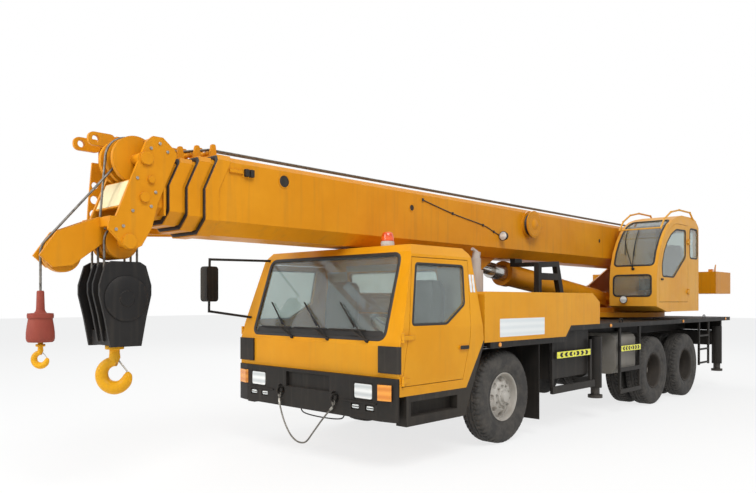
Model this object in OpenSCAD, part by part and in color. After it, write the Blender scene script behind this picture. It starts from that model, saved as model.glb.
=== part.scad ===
// Truck crane with a four-section telescopic boom on a three-axle carrier, parked with its boom level.
// Millimetres. The origin is on the ground below the middle of the crane; +X forward, +Y left, +Z up.

/* [Carrier] */
// Overall width of the carrier
body_w = 2500; // [2460:10:2540]
// Front axle ahead of the origin
front_axle_x = 1650; // [1630:10:1670]
// Front axle to first rear axle
wheelbase = 4125; // [4075:25:4175]
// First rear axle to second rear axle
bogie_pitch = 1350; // [1320:10:1380]
// Top of the deck plate
deck_z = 1305; // [1295:5:1315]
// Rear end of the deck behind the origin
deck_rear = 6050; // [5980:10:6100]
// Half the outer width of the chassis rails
rail_out = 430; // [420:5:440]

/* [Wheels] */
// Tyre outside diameter
tyre_od = 1056; // [1040:4:1070]
// Tyre section width
tyre_w = 285; // [275:5:290]
// Bead radius of the rims
rim_r = 270; // [260:5:280]
// Front wheel centre from the middle plane
front_wheel_y = 1038; // [1030:2:1046]
// Middle of a pair of rear wheels from the middle plane
twin_y = 930; // [922:2:936]
// Tyre spacing in a rear pair
twin_pitch = 325; // [315:5:335]
// Kingpin from the middle plane
kingpin_y = 870; // [862:2:876]

/* [Driver cab] */
// Front face of the cab ahead of the origin
cab_front = 3540; // [3520:5:3560]
// Rear wall of the cab at the belt line
cab_rear = 2185; // [2170:5:2200]
// Underside of the cab
cab_low = 720; // [710:5:730]
// Roof of the cab
cab_top = 2180; // [2170:5:2185]
// Thickness of cab walls and doors
cab_wall = 45; // [40:1:50]

/* [Outriggers] */
// Front outrigger box, middle behind the origin
jack_front = 700; // [680:10:720]
// Rear outrigger box, middle behind the origin
jack_rear = 5700; // [5680:10:5720]
// Width of a sliding beam
beam_w = 170; // [160:5:180]
// Height of a sliding beam
beam_h = 230; // [220:5:235]
// Jack leg from the middle plane when stowed
jack_y = 1150; // [1140:5:1155]

/* [Superstructure] */
// Slewing centre behind the origin
slew_x = 3550; // [3520:10:3580]
// Outside radius of the slewing ring
ring_r = 700; // [680:10:720]
// Outer faces of the turntable side plates
plate_out = 415; // [412:1:418]
// Tail of the counterweight behind the origin
tail_x = 6350; // [6320:10:6380]
// Half width of the counterweight
tail_w = 1220; // [1200:5:1230]
// Front of the operator cab behind the origin
op_front = 2585; // [2575:5:2600]
// Length of the operator cab
op_len = 1865; // [1840:5:1880]
// Thickness of operator cab walls
op_wall = 35; // [32:1:38]

/* [Boom] */
// Boom pivot behind the origin
pivot_x = 4950; // [4930:10:4970]
// Height of the boom pivot
pivot_z = 2480; // [2470:5:2490]
// Underside of the boom when level
boom_low = 2205; // [2200:5:2210]
// Height of the base section
boom_h = 700; // [690:5:710]
// Width of the base section
boom_w = 680; // [670:5:690]
// Wall of the boom sections
boom_wall = 12; // [10:1:14]
// Front end of the base section ahead of the origin
boom_front = 4865; // [4850:5:4880]
// Lift cylinder foot pin behind the origin
lift_x = 3100; // [3090:5:3110]
// Lift cylinder foot pin height
lift_z = 1640; // [1630:5:1650]
// Lift cylinder eye ahead of the origin
eye_x = 715; // [705:5:725]
// Lift cylinder eye height
eye_z = 2105; // [2100:5:2110]

/* [Hooks] */
// Main hook ahead of the origin
hook_x = 5690; // [5685:1:5695]
// Top of the main hook block
block_top = 1940; // [1930:5:1950]
// Auxiliary sheave ahead of the origin
nose_x = 6125; // [6115:5:6135]
// Auxiliary sheave height
nose_z = 1990; // [1985:5:1995]
// Auxiliary sheave radius
nose_r = 145; // [140:1:150]

/* [Hidden] */
$fn = 40;
half_w = body_w / 2;
axle_z = tyre_od / 2;
rear1_x = front_axle_x - wheelbase;
rear2_x = rear1_x - bogie_pitch;
bogie_x = (rear1_x + rear2_x) / 2;
frame_z = deck_z - 65;
frame_low = frame_z - 195;
rail_in = rail_out - 100;
seat = 0.3;
run = 5;
hood_low = 1168;
hood_top = 1720;
hood_rear = -540;
hood_in = 640;
arch_z = hood_low - 20;
plate_in = plate_out - 30;
ring_z = 1340;
boom_top = boom_low + boom_h;
boom_mid = boom_low + boom_h / 2;
spindle_r = 55;
drive_r = 70;
hub_t = 60;
hw = tyre_w / 2;
rim_in = rim_r - 34;
tail_low = 1750;
tail_top = 2160;
op_in = plate_out + 15;
op_out = 1210;

// One node of the list above, or all of them

function wrap(a) = a > 180 ? a - 360 : a < -180 ? a + 360 : a;
function inset(p, d) = let (n = len(p)) [for (i = [0 : n - 1]) let (
    a = p[(i + n - 1) % n], b = p[i], c = p[(i + 1) % n],
    u = (b - a) / norm(b - a), v = (c - b) / norm(c - b),
    n1 = [u[1], -u[0]], n2 = [v[1], -v[0]]) b - d * (n1 + n2) / (1 + n1 * n2)];
function rounded(p, r, k = 4) = let (n = len(p)) [for (i = [0 : n - 1]) let (
    a = p[(i + n - 1) % n], b = p[i], c = p[(i + 1) % n],
    u = (a - b) / norm(a - b), v = (c - b) / norm(c - b), q = u * v,
    m = b + (u + v) / norm(u + v) * r / sqrt((1 - q) / 2), t = r * sqrt((1 + q) / (1 - q)),
    s = b + u * t - m, e = b + v * t - m, a0 = atan2(s[1], s[0]), da = wrap(atan2(e[1], e[0]) - a0))
    for (j = [0 : k]) m + r * [cos(a0 + da * j / k), sin(a0 + da * j / k)]];
function box2(x0, x1, y0, y1) = [[x1, y0], [x1, y1], [x0, y1], [x0, y0]];
function flip(p) = [for (i = [len(p) - 1 : -1 : 0]) [-p[i][0], p[i][1]]];

module side(p, y0, y1) translate([0, y1, 0]) rotate([90, 0, 0]) linear_extrude(y1 - y0) polygon(p);
module front(p, x0, x1) translate([x0, 0, 0]) rotate([90, 0, 90]) linear_extrude(x1 - x0) polygon(p);
module plan(p, z0, z1) translate([0, 0, z0]) linear_extrude(z1 - z0) polygon(p);
module block(x0, x1, y0, y1, z0, z1) translate([x0, y0, z0]) cube([x1 - x0, y1 - y0, z1 - z0]);
module rod_x(y, z, r, x0, x1) translate([x0, y, z]) rotate([0, 90, 0]) cylinder(h = x1 - x0, r = r);
module rod_y(x, z, r, y0, y1) translate([x, y1, z]) rotate([90, 0, 0]) cylinder(h = y1 - y0, r = r);
module rod_z(x, y, r, z0, z1) translate([x, y, z0]) cylinder(h = z1 - z0, r = r);
module link(a, b, r) translate(a) rotate([0, acos((b - a)[2] / norm(b - a)), atan2((b - a)[1], (b - a)[0])])
    cylinder(h = norm(b - a), r = r);
module both() { children(); mirror([0, 1, 0]) children(); }

// Chassis: two rails that step up behind the front axle, cross members and the slewing pedestal
rail_line = [[3380, 500], [3380, 690], [2400, 690], [2200, 1000], [350, 1000], [-50, frame_z],
    [-deck_rear, frame_z], [-deck_rear, frame_low], [0, frame_low], [400, 700], [2330, 700], [2480, 500]];
module chassis_frame() color("#232120") {
    both() side(rail_line, rail_in, rail_out);
    both() for (x = [2640, 3300]) rod_z(x, (rail_in + rail_out) / 2, 42, 689, cab_low - seat);
    block(3280, 3370, -rail_in - 1, rail_in + 1, 510, 680);
    block(2420, 2520, -rail_in - 1, rail_in + 1, 520, 680);
    block(420, 520, -rail_in - 1, rail_in + 1, 850, 990);
    for (x = [-jack_front, -1500, -jack_rear]) block(x - 80, x + 80, -rail_in - 1, rail_in + 1, frame_low, frame_z);
    difference() {
        block(-slew_x - 760, -slew_x + 760, -480, 480, frame_low, frame_z);
        rod_z(-slew_x, 0, 250, frame_low - 1, frame_z + 1);
    }
    block(-deck_rear, -deck_rear + 60, -1100, 1100, frame_low, frame_z);
}

// Deck with its edge rails, bearers, inner arches over the front wheels and side lockers
edge_line = [[2060, hood_low - 66], [2060, hood_low], [400, hood_low], [262, deck_z], [-deck_rear, deck_z],
    [-deck_rear, frame_z], [292, frame_z], [420, hood_low - 66]];
module deck() color("#232120") {
    both() side(edge_line, half_w - 50, half_w);
    difference() {
        block(-deck_rear, 260, -half_w + 10, half_w - 10, deck_z - 20, deck_z);
        rod_z(-slew_x, 0, ring_r + 60, deck_z - 30, deck_z + 10);
        block(hood_rear + 20, 300, -hood_in, hood_in, deck_z - 30, deck_z + 10);
    }
    for (x = [-900, -1700, -2500, -4560, -5300, -deck_rear + 30])
        block(x - 30, x + 30, -half_w + 40, half_w - 40, frame_z + seat, deck_z - 10);
    both() {
        block(400, 2060, hood_in - 20, half_w - 10, arch_z, hood_low);
        side([[400, arch_z], [400, hood_low - 2], [258, deck_z - 2], [258, deck_z - 20], [380, arch_z]], hood_in, half_w - 10);
        block(-350, 660, half_w - 560, half_w - 80, 640, arch_z + 10);
        block(-350, 250, half_w - 560, half_w - 80, arch_z - 10, frame_z + 50);
    }
}

// Fixed outrigger boxes, each with two cells side by side for the two beams
cell_w = beam_w + 2 * run;
cell_h = beam_h + 2 * run;
box_w = 2 * cell_w + 36;
box_z = frame_low - seat - cell_h / 2 - 12;
module outrigger_boxes() color("#232120") for (x = [-jack_front, -jack_rear]) difference() {
    block(x - box_w / 2, x + box_w / 2, -1040, 1040, box_z - cell_h / 2 - 12, box_z + cell_h / 2 + 12);
    for (s = [-1, 1]) translate([x + s * (cell_w / 2 + 6), 0, box_z]) cube([cell_w, 2100, cell_h], center = true);
}

// Yellow covers beside and over the engine, behind the cab
hood_line = [[cab_rear - 15, hood_low + seat], [cab_rear - 15, hood_top - 30], [cab_rear - 45, hood_top],
    [hood_rear + 210, hood_top], [hood_rear, hood_top - 120], [hood_rear, deck_z + seat], [262, deck_z + seat],
    [400, hood_low + seat]];
module engine_hood() color("#E8A018") {
    both() difference() {
        side(hood_line, hood_in, half_w);
        side(inset(hood_line, 30), hood_in - 1, half_w - 30);
    }
    difference() {
        block(500, cab_rear - 15, -hood_in - 1, hood_in + 1, 1440, 1470);
        block(1150, 1350, 250, 650, 1400, 1500);
    }
}

// Engine and gearbox as one plain block on four feet
module engine_block() color("#5A5C5E") {
    block(850, 2050, -300, 300, 660, 1380);
    rod_x(0, 800, 190, 560, 860);
    both() for (x = [1000, 1850]) block(x - 40, x + 40, 299, rail_in - seat, 820, 900);
}

// Driver cab: a shell cut from the side outline and the front outline, with its doors and windows open
cab_line = [[cab_front, cab_low], [cab_front, 1190], [cab_front - 285, 2105], [cab_front - 345, cab_top],
    [cab_rear + 165, cab_top], [cab_rear + 105, cab_top - 60], [cab_rear, 1200], [cab_rear + 315, cab_low]];
cab_face = [[half_w, cab_low - 20], [half_w, 1360], [half_w - 95, 2080], [half_w - 170, cab_top + 5],
    [170 - half_w, cab_top + 5], [95 - half_w, 2080], [-half_w, 1360], [-half_w, cab_low - 20]];
door_line = [[cab_front - 35, 815], [cab_front - 280, 2045], [cab_rear + 175, 2045], [cab_rear + 255, 1200],
    [cab_rear + 375, 815]];
pane_line = [[cab_front - 190, 1392], [cab_front - 330, 1985], [cab_rear + 270, 1985], [cab_rear + 310, 1585],
    [cab_rear + 640, 1392]];
screen = rounded([[half_w - 215, 1250], [half_w - 232, 2085], [232 - half_w, 2085], [215 - half_w, 1250]], 85);
rear_pane = rounded(box2(-700, 700, 1480, 1960), 70);
module cab_solid(d) intersection() {
    side(inset(cab_line, d), -half_w - 10, half_w + 10);
    front(inset(cab_face, d), cab_rear - 100, cab_front + 100);
}
module cab_skin(a, b) difference() { cab_solid(a); cab_solid(b); }
module cab_shell() color("#E8A018") { cab_walls(); cab_posts(); }
module cab_walls() difference() {
    cab_skin(0, cab_wall);
    front(screen, cab_front - 450, cab_front + 100);
    front(rear_pane, cab_rear - 100, cab_rear + 200);
    both() side(inset(door_line, -6), half_w - 200, half_w + 20);
}
module cab_posts() both() for (z = hinge_z) ears(pin_x, pin_y, z, pin_x + 12);
module cab_glass() color("#3A474C") intersection() {
    cab_skin(14, 20);
    union() {
        front(inset(screen, seat), cab_front - 450, cab_front + 100);
        front(inset(rear_pane, seat), cab_rear - 100, cab_rear + 200);
    }
}
// Hinge: the leaf carries an eye round the pin of the two ears on the post
module eye(x, y, z, far) difference() {
    union() { rod_z(x, y, 15, z, z + 44); block(min(x, far), max(x, far), y - 12, y + 6, z, z + 44); }
    rod_z(x, y, 8 + seat, z - 1, z + 45);
}
module ears(x, y, z, far) {
    rod_z(x, y, 8, z - 20, z + 64);
    for (q = [z - 24, z + 44 + seat]) {
        rod_z(x, y, 15, q, q + 24 - seat);
        block(min(x, far), max(x, far), y - 19, y + 6, q, q + 24 - seat);
    }
}
pin_x = cab_front - 31;
pin_y = half_w + 17;
hinge_z = [845, 1250];
module door() {
    for (z = hinge_z) intersection() {
        eye(pin_x, pin_y, z, cab_front - 35 - 245 * (z - 815) / 1230 - 50);
        block(0, 9999, half_w + 1, half_w + 99, 0, 9999);
    }
    for (z = hinge_z) side(box2(cab_front - 135 - 245 * (z - 815) / 1230, cab_front - 48 - 245 * (z - 800) / 1230, z, z + 44),
        half_w - 3, half_w + 6);
    difference() {
        intersection() { cab_skin(0, cab_wall); side(door_line, half_w - 200, half_w + 20); }
        side(pane_line, half_w - 300, half_w + 100);
        block(cab_front - cab_wall - 1, cab_front + 10, half_w - 300, half_w - cab_wall, 0, 1190);
    }
    side(rounded(box2(cab_rear + 290, cab_rear + 440, 1120, 1160), 15), half_w - 5, half_w + 18);
}
module door_glass() intersection() { cab_skin(14, 20); side(inset(pane_line, seat), half_w - 300, half_w + 100); }
module door_left() color("#DD901C") door();
module door_right() color("#DD901C") mirror([0, 1, 0]) door();
module door_left_glass() color("#3A474C") door_glass();
module door_right_glass() color("#3A474C") mirror([0, 1, 0]) door_glass();

// Dashboard, steering wheel and two seats
floor_z = cab_low + cab_wall;
module cab_interior() color("#33322F") {
    side([[cab_front - cab_wall - 2, floor_z + seat], [cab_front - cab_wall - 2, 1180],
        [cab_front - 240, 1225], [cab_front - 400, 1150], [cab_front - 330, floor_z + seat]], 125 - half_w, half_w - 125);
    link([cab_front - 340, 620, 1080], [cab_front - 560, 620, 1330], 28);
    translate([cab_front - 560, 620, 1330]) rotate([0, -41, 0]) {
        rotate_extrude() translate([215, 0]) circle(r = 15, $fn = 16);
        for (a = [90, 210, 330]) rotate([0, 0, a]) rod_x(0, 0, 11, 0, 212);
        cylinder(h = 30, r = 55, center = true);
    }
    both() {
        block(2560, 2900, 420, 880, floor_z + seat, 1020);
        side(rounded([[2960, 1010], [2960, 1120], [2480, 1120], [2480, 1010]], 30), 380, 920);
        side(rounded([[2560, 1100], [2500, 1850], [2390, 1850], [2450, 1100]], 30), 380, 920);
    }
}

// Black trim on the cab: steps, corner deflectors, mirror and wipers
function screen_x(z) = cab_front - 285 * (z - 1190) / 915;
module wiper(y) difference() {
    union() {
        link([screen_x(1222) - 10, y, 1222], [screen_x(1222) + 22, y, 1232], 16);
        link([screen_x(1222) + 18, y, 1230], [screen_x(1330) + 20, y - 250, 1330], 10);
        link([screen_x(1330) + 20, y - 40, 1330], [screen_x(1330) + 20, y - 560, 1330], 9);
    }
    cab_solid(-seat);
}
module cab_trim() color("#2B2927") {
    both() {
        difference() {
            block(cab_rear + 400, cab_front - 95, half_w - 130, half_w, 430, cab_low - seat);
            block(cab_rear + 470, cab_front - 160, half_w - 100, half_w + 10, 520, 660);
        }
        side([[cab_rear + 398, 430], [cab_rear + 398, cab_low - 2], [cab_rear + 313, cab_low - 2], [cab_rear - 2, 1192],
            [cab_rear - 15 + seat, 1192], [cab_rear - 15 + seat, 1166], [cab_rear + 150, 830], [cab_rear + 330, 430]],
            half_w - 110, half_w - 4);
    }
    both() plan(concat([[cab_front + seat, 990], [cab_front + 22, 990]],
        [for (a = [0 : 15 : 75]) [cab_front - 18 + 40 * cos(a), half_w - 18 + 34 * sin(a)]],
        [[cab_front - 12, half_w + seat], [cab_front + seat, half_w + seat]]), 935, 1190);
    for (y = [820, 250, -320]) wiper(y);
    difference() {
        union() {
            link([cab_front - 330, 200 - half_w, 2092], [3960, -half_w - 20, 2090], 14);
            link([cab_front - 100, 100 - half_w, 1420], [3960, -half_w - 35, 1500], 14);
        }
        cab_solid(-seat);
    }
    link([3960, -half_w - 20, 2104], [3960, -half_w - 35, 1486], 14);
    translate([3960, -half_w - 25, 1810]) rotate([0, 0, 12]) side(rounded(box2(-90, 90, -200, 200), 40), -50, 50);
}

// Bumper bent round the corners, with pockets for the lamps and a step recess
bump_front = cab_front + 60;
bump_line = [[bump_front, half_w - 200], [bump_front - 25, half_w - 70], [cab_front + 18, half_w - 6],
    [cab_front + 4, half_w], [cab_front + 4, half_w - 60]];
eye_y = 430;
eye_h = 650;
module bumper() color("#232120") {
    bumper_beam();
    both() {
        translate([bump_front + 20, eye_y, eye_h]) rotate([90, 0, 0]) rotate_extrude($fn = 32) translate([34, 0]) circle(r = 11, $fn = 16);
        block(bump_front - 30, bump_front - 2, eye_y - 18, eye_y + 18, eye_h - 20, eye_h + 20);
        block(bump_front - 2, bump_front + 12, 560, 1010, 634, 648);
    }
}
module bumper_beam() difference() {
    union() {
        plan(concat(bump_line, [for (i = [len(bump_line) - 1 : -1 : 0]) [bump_line[i][0], -bump_line[i][1]]]), 480, 890);
        block(cab_front - 60, cab_front + 20, 60 - half_w, half_w - 60, 490, cab_low - 4);
        block(3380 + seat, cab_front - 50, -rail_out, rail_out, 500, 690);
    }
    both() {
        block(bump_front - 40, bump_front + 10, 700, 960, 665, 830);
        for (y = [721, 919]) block(bump_front - 40, bump_front + 10, y - 60, y + 60, 560, 620);
    }
    block(bump_front - 40, bump_front + 10, -345, 345, 700, 858);
    both() rod_x(eye_y, eye_h, 62, bump_front - 25, bump_front + 10);
}

// Free cords: a tube swept along a smooth curve through a few chosen points
function mix(p, i, t) = let (a = p[max(i - 1, 0)], b = p[i], c = p[i + 1], d = p[min(i + 2, len(p) - 1)])
    0.5 * (2 * b + (c - a) * t + (2 * a - 5 * b + 4 * c - d) * t * t + (3 * b - a - 3 * c + d) * t * t * t);
function curve(p, k) = concat([for (i = [0 : len(p) - 2]) for (j = [0 : k - 1]) mix(p, i, j / k)], [p[len(p) - 1]]);
module cord(p, r) {
    n = len(p);
    rings = [for (i = [0 : n - 1]) let (d = p[min(i + 1, n - 1)] - p[max(i - 1, 0)], u = cross(d, [1, 0, 0]), v = cross(d, u))
        for (a = [0 : 45 : 315]) p[i] + r * (cos(a) * u / norm(u) + sin(a) * v / norm(v))];
    polyhedron(rings, concat([[for (j = [0 : 7]) j]], [for (i = [0 : n - 2]) for (j = [0 : 7]) for (f =
        [[i * 8 + j, i * 8 + 8 + j, i * 8 + (j + 1) % 8], [i * 8 + (j + 1) % 8, i * 8 + 8 + j, i * 8 + 8 + (j + 1) % 8]]) f],
        [[for (j = [7 : -1 : 0]) 8 * n - 8 + j]]));
}
sling_top = eye_h - 45 - seat;
sling_route = [[bump_front + 24, -eye_y, sling_top], [bump_front + 28, -eye_y + 4, sling_top - 50],
    [bump_front + 42, -385, 455], [bump_front + 50, -310, 320], [bump_front + 52, -215, 205], [bump_front + 52, -125, 150],
    [bump_front + 52, -40, 136], [bump_front + 52, 50, 160], [bump_front + 50, 150, 262], [bump_front + 44, 270, 395],
    [bump_front + 34, 375, 505], [bump_front + 28, eye_y - 4, sling_top - 50], [bump_front + 24, eye_y, sling_top]];
module tow_sling() color("#8B857B") cord(curve(sling_route, 3), 9);
hose_x = cab_front - 40;
hose_mid = 124;
hose_bend = 60;
hose_half = concat([[-215, 490 - seat], [-215, 485], [-215, 480]],
    [for (q = [15 : 15 : 75]) [hose_bend - 215 - hose_bend * cos(q), 480 - hose_bend * sin(q)]],
    [[-135, 414.5], [-85, 408.5], [-25, 404.5], [45, 402.3]]);
hose_route = concat([for (p = hose_half) [hose_x, p[0], p[1]]], [[hose_x, hose_mid, 401.5]],
    [for (i = [len(hose_half) - 1 : -1 : 0]) [hose_x, 2 * hose_mid - hose_half[i][0], hose_half[i][1]]]);
module air_hose() color("#232221") cord(hose_route, 7);

// Lamps: head, fog, corner, deck edge, tail and the roof beacon
module lamps() color("#D9D6CC") {
    both() {
        side(rounded(box2(bump_front - 40 + seat, bump_front + 4, 665 + seat, 830 - seat), 6), 700 + seat, 960 - seat);
        for (y = [721, 919]) block(bump_front - 40 + seat, bump_front - 4, y - 60 + seat, y + 60 - seat, 560 + seat, 620 - seat);
        plan([[bump_front + seat, half_w - 200], [bump_front + seat, half_w - 220], [bump_front + 28, half_w - 205],
            [bump_front - 5, half_w - 55], [bump_front - 25 + seat, half_w - 70]], 680, 830);
        for (x = [1880, -870, -3600, -5780])
            rod_y(x, x > 0 ? hood_low - 33 : (deck_z + frame_z) / 2, 26, half_w + seat, half_w + 18);
        block(-deck_rear - 25, -deck_rear - seat, 800, 1080, frame_low + 30, frame_low + 140);
    }
    translate([cab_rear + 915, 690, cab_top + seat]) {
        cylinder(h = 55, r = 70);
        translate([0, 0, 54]) cylinder(h = 95, r1 = 68, r2 = 52);
    }
}

// Front axle beam with its leaf springs
module front_axle() color("#232120") {
    difference() {
        union() {
            block(front_axle_x - 45, front_axle_x + 45, -kingpin_y, kingpin_y, axle_z - 60, axle_z + 60);
            for (s = [-1, 1]) rod_z(front_axle_x, s * kingpin_y, 50, axle_z - 60, axle_z + 60);
        }
        for (s = [-1, 1]) rod_z(front_axle_x, s * kingpin_y, 30 + seat, axle_z - 70, axle_z + 70);
    }
    both() {
        side(concat([for (i = [-8 : 8]) [front_axle_x - i * 75, axle_z + 60 + 40 * i * i / 64]],
            [for (i = [8 : -1 : -8]) [front_axle_x - i * 75, axle_z + 110 + 55 * i * i / 64]]), 345, 415);
        for (s = [-1, 1]) block(front_axle_x + s * 590 - 30, front_axle_x + s * 590 + 30, 345, 415, axle_z + 100, 700 - seat);
    }
}
module knuckle() {
    for (z = [axle_z - 112, axle_z + 60 + seat]) rod_z(front_axle_x, kingpin_y, 58, z, z + 52 - seat);
    rod_z(front_axle_x, kingpin_y, 30, axle_z - 80, axle_z + 80);
    block(front_axle_x - 45, front_axle_x + 45, kingpin_y + 52, kingpin_y + 84, axle_z - 112, axle_z + 112);
    rod_y(front_axle_x, axle_z, 90, kingpin_y + 80, front_wheel_y - hub_t - 2);
    rod_y(front_axle_x, axle_z, spindle_r, kingpin_y + 80, front_wheel_y + 98);
}
module knuckle_left() color("#3C3A38") knuckle();
module knuckle_right() color("#3C3A38") mirror([0, 1, 0]) knuckle();

// Rear bogie: two drive axles, rocking leaf springs and the drive shafts
module rear_bogie() color("#232120") {
    for (x = [rear1_x, rear2_x]) {
        rod_y(x, axle_z, 85, -620, 620);
        rod_y(x, axle_z, drive_r, -twin_y - 58, twin_y + 58);
        rod_x(0, axle_z, 190, x - 130, x + 130);
        both() block(x - 60, x + 60, 455, 545, axle_z + 60, axle_z + 115);
    }
    both() {
        side(concat([for (i = [-8 : 8]) [bogie_x - i * (bogie_pitch + 140) / 16, axle_z + 205 - 95 * i * i / 64]],
            [for (i = [8 : -1 : -8]) [bogie_x - i * (bogie_pitch + 140) / 16, axle_z + 310 - 145 * i * i / 64]]), 455, 545);
        block(bogie_x - 130, bogie_x + 130, 440, 545, axle_z + 250, frame_low - seat);
    }
    link([rear1_x + 120, 0, axle_z], [555, 0, 780], 48);
    rod_x(0, axle_z, 42, rear2_x + 100, rear1_x - 100);
}

// Wheels: tyre, rim, disc and hub turned in one piece
function tyre_ring(t) = let (s = tyre_od / 2 - rim_r, h = [[-0.02, 0.74], [0.10, 0.82], [0.35, 0.97], [0.55, 1],
    [0.78, 0.96], [0.90, 0.86], [0.97, 0.74], [1, 0.55]]) concat(
    [for (i = [0 : 7]) [rim_r + s * h[i][0], t - hw * h[i][1]]], [for (i = [7 : -1 : 0]) [rim_r + s * h[i][0], t + hw * h[i][1]]]);
module spun(p) rotate_extrude($fn = 64) polygon(p);
module front_wheel() translate([front_axle_x, front_wheel_y, axle_z]) rotate([-90, 0, 0]) difference() {
    union() {
        spun(tyre_ring(0));
        spun([[rim_in, -hw * 0.78], [rim_r, -hw * 0.78], [rim_r, hw * 0.78], [rim_in, hw * 0.78]]);
        spun([[80, 70], [rim_in + 5, 20], [rim_in + 5, 42], [150, 94], [80, 94]]);
        translate([0, 0, -hub_t]) cylinder(h = hub_t + 110, r = 95);
        cylinder(h = 150, r = 62);
    }
    translate([0, 0, -hub_t - 1]) cylinder(h = hub_t + 101, r = spindle_r + seat);
    for (a = [0 : 45 : 315]) rotate([0, 0, a]) translate([190, 0, 0]) cylinder(h = 120, r = 27);
}
module rear_wheel(x) translate([x, twin_y, axle_z]) rotate([-90, 0, 0]) difference() {
    union() {
        for (s = [-1, 1]) {
            spun(tyre_ring(s * twin_pitch / 2));
            spun([for (q = [[rim_in, 0], [rim_r - 20, 0], [rim_r - 20, twin_pitch / 2 - hw * 0.78],
                [rim_r, twin_pitch / 2 - hw * 0.78], [rim_r, twin_pitch / 2 + hw * 0.78],
                [rim_in, twin_pitch / 2 + hw * 0.78]]) [q[0], s * q[1]]]);
        }
        spun([[90, -16], [rim_in + 5, -16], [rim_in + 5, 16], [90, 16]]);
        translate([0, 0, -100]) cylinder(h = 200, r = 110);
        cylinder(h = 150, r = 80);
        translate([0, 0, -150]) cylinder(h = 140, r = 205);
    }
    translate([0, 0, -151]) cylinder(h = 211, r = drive_r + seat);
    for (a = [0 : 45 : 315]) rotate([0, 0, a]) translate([215, 0, -20]) cylinder(h = 60, r = 9);
}
module wheel_front_left() color("#4A4845") front_wheel();
module wheel_front_right() color("#4A4845") mirror([0, 1, 0]) front_wheel();
module wheel_mid_left() color("#4A4845") rear_wheel(rear1_x);
module wheel_mid_right() color("#4A4845") mirror([0, 1, 0]) rear_wheel(rear1_x);
module wheel_rear_left() color("#4A4845") rear_wheel(rear2_x);
module wheel_rear_right() color("#4A4845") mirror([0, 1, 0]) rear_wheel(rear2_x);

// Fuel and oil tanks between the front outriggers and the rear wheels
tank_rear = rear1_x + axle_z + 87;
tank_room = -jack_front - box_w / 2 - tank_rear;
module tanks() color("#8E8A84") both() {
    front(rounded(box2(half_w - 550, half_w - 75, 560, 1150), 110), tank_rear, tank_rear + 0.7 * tank_room);
    for (k = [0.17, 0.53]) translate([tank_rear + k * tank_room, 0, 0])
        block(-40, 40, rail_out + seat, half_w - 530, frame_low + 10, frame_low + 80);
}

// Side guards, rear ladder and mud flaps
module side_guards() color("#232120") both() {
    for (x = [660, -340]) block(x - 25, x + 25, half_w - 60, half_w - 30, 470, hood_low - 66 - seat);
    block(-390, 720, half_w - 32, half_w, 470, 560);
    block(-300, 640, half_w - 32, half_w, 900, 985);
    for (x = [-1205, -1880]) block(x - 22, x + 22, half_w - 40, half_w - 10, 290, frame_z - seat);
    for (z = [290, 600, 890]) block(-1902, -1183, half_w - 12, half_w, z, z + (z > 800 ? 85 : 60));
    for (x = [-4420, -4900]) block(x - 20, x + 20, half_w - 40, half_w - 10, 480, frame_z - seat);
    for (z = [500, 740, 980]) block(-4900, -4420, half_w - 38, half_w - 12, z, z + 30);
    block(1004, 1018, half_w - 330, half_w - 20, 200, hood_low - 66);
    block(1004, 1018, half_w - 330, half_w - 52, hood_low - 67, arch_z - seat);
}

// Exhaust stack with its flap cap
module exhaust_stack() color("#BDB5AE") {
    rod_z(1250, 480, 62, 1180, 2150);
    rod_z(1250, 480, 90, 1480, 2000);
    block(1180, 1320, 300 + seat, 420, 1180, 1240);
    link([1250, 480, 2140], [1235, 480, 2225], 50);
    link([1225, 480, 2225], [1330, 480, 2262], 20);
}

// Boom rest: a frame on each side with a top arm reaching in below the boom
module boom_rest() color("#232120") both() {
    difference() {
        side([[276, hood_top + seat], [276, 2130], [-260, 2160], [-400, hood_top + seat]], 720, 790);
        side([[196, 1990], [196, 2060], [-200, 2085], [-225, 1990]], 700, 800);
        side([[196, 1690], [196, 1900], [-240, 1900], [-310, 1690]], 700, 800);
    }
    block(-60, 120, 250, 721, 2090, 2140);
    block(-60, 120, 250, 330, 2139, boom_low - run);
}

// Fixed race of the slewing ring
module slewing_ring() color("#3A3836") difference() {
    rod_z(-slew_x, 0, ring_r, frame_z + seat, ring_z);
    rod_z(-slew_x, 0, ring_r - 140, frame_z - 1, ring_z + 1);
}

// Outrigger beam with its jack sleeve, and the jack leg with its foot
module beam(x) {
    difference() {
        union() {
            translate([x, 60, box_z - run + seat]) cube([beam_w, 2 * (jack_y - 130), beam_h], center = true);
            block(x - 70, x + 70, jack_y - 120, jack_y, box_z - 90, box_z + 90);
            rod_z(x, jack_y, 88, 430, 1130);
        }
        rod_z(x, jack_y, 60 + seat, 400, 1105);
    }
}
module jack(x) {
    rod_z(x, jack_y, 60, 330, 1080);
    rod_z(x, jack_y, 98, 290, 331);
}
front_l = -jack_front + cell_w / 2 + 6;
front_r = -jack_front - cell_w / 2 - 6;
rear_l = -jack_rear + cell_w / 2 + 6;
rear_r = -jack_rear - cell_w / 2 - 6;
module beam_front_left() color("#2B2927") beam(front_l);
module beam_front_right() color("#2B2927") mirror([0, 1, 0]) beam(front_r);
module beam_rear_left() color("#2B2927") beam(rear_l);
module beam_rear_right() color("#2B2927") mirror([0, 1, 0]) beam(rear_r);
module jack_front_left() color("#B9B9B4") jack(front_l);
module jack_front_right() color("#B9B9B4") mirror([0, 1, 0]) jack(front_r);
module jack_rear_left() color("#B9B9B4") jack(rear_l);
module jack_rear_right() color("#B9B9B4") mirror([0, 1, 0]) jack(rear_r);

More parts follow.
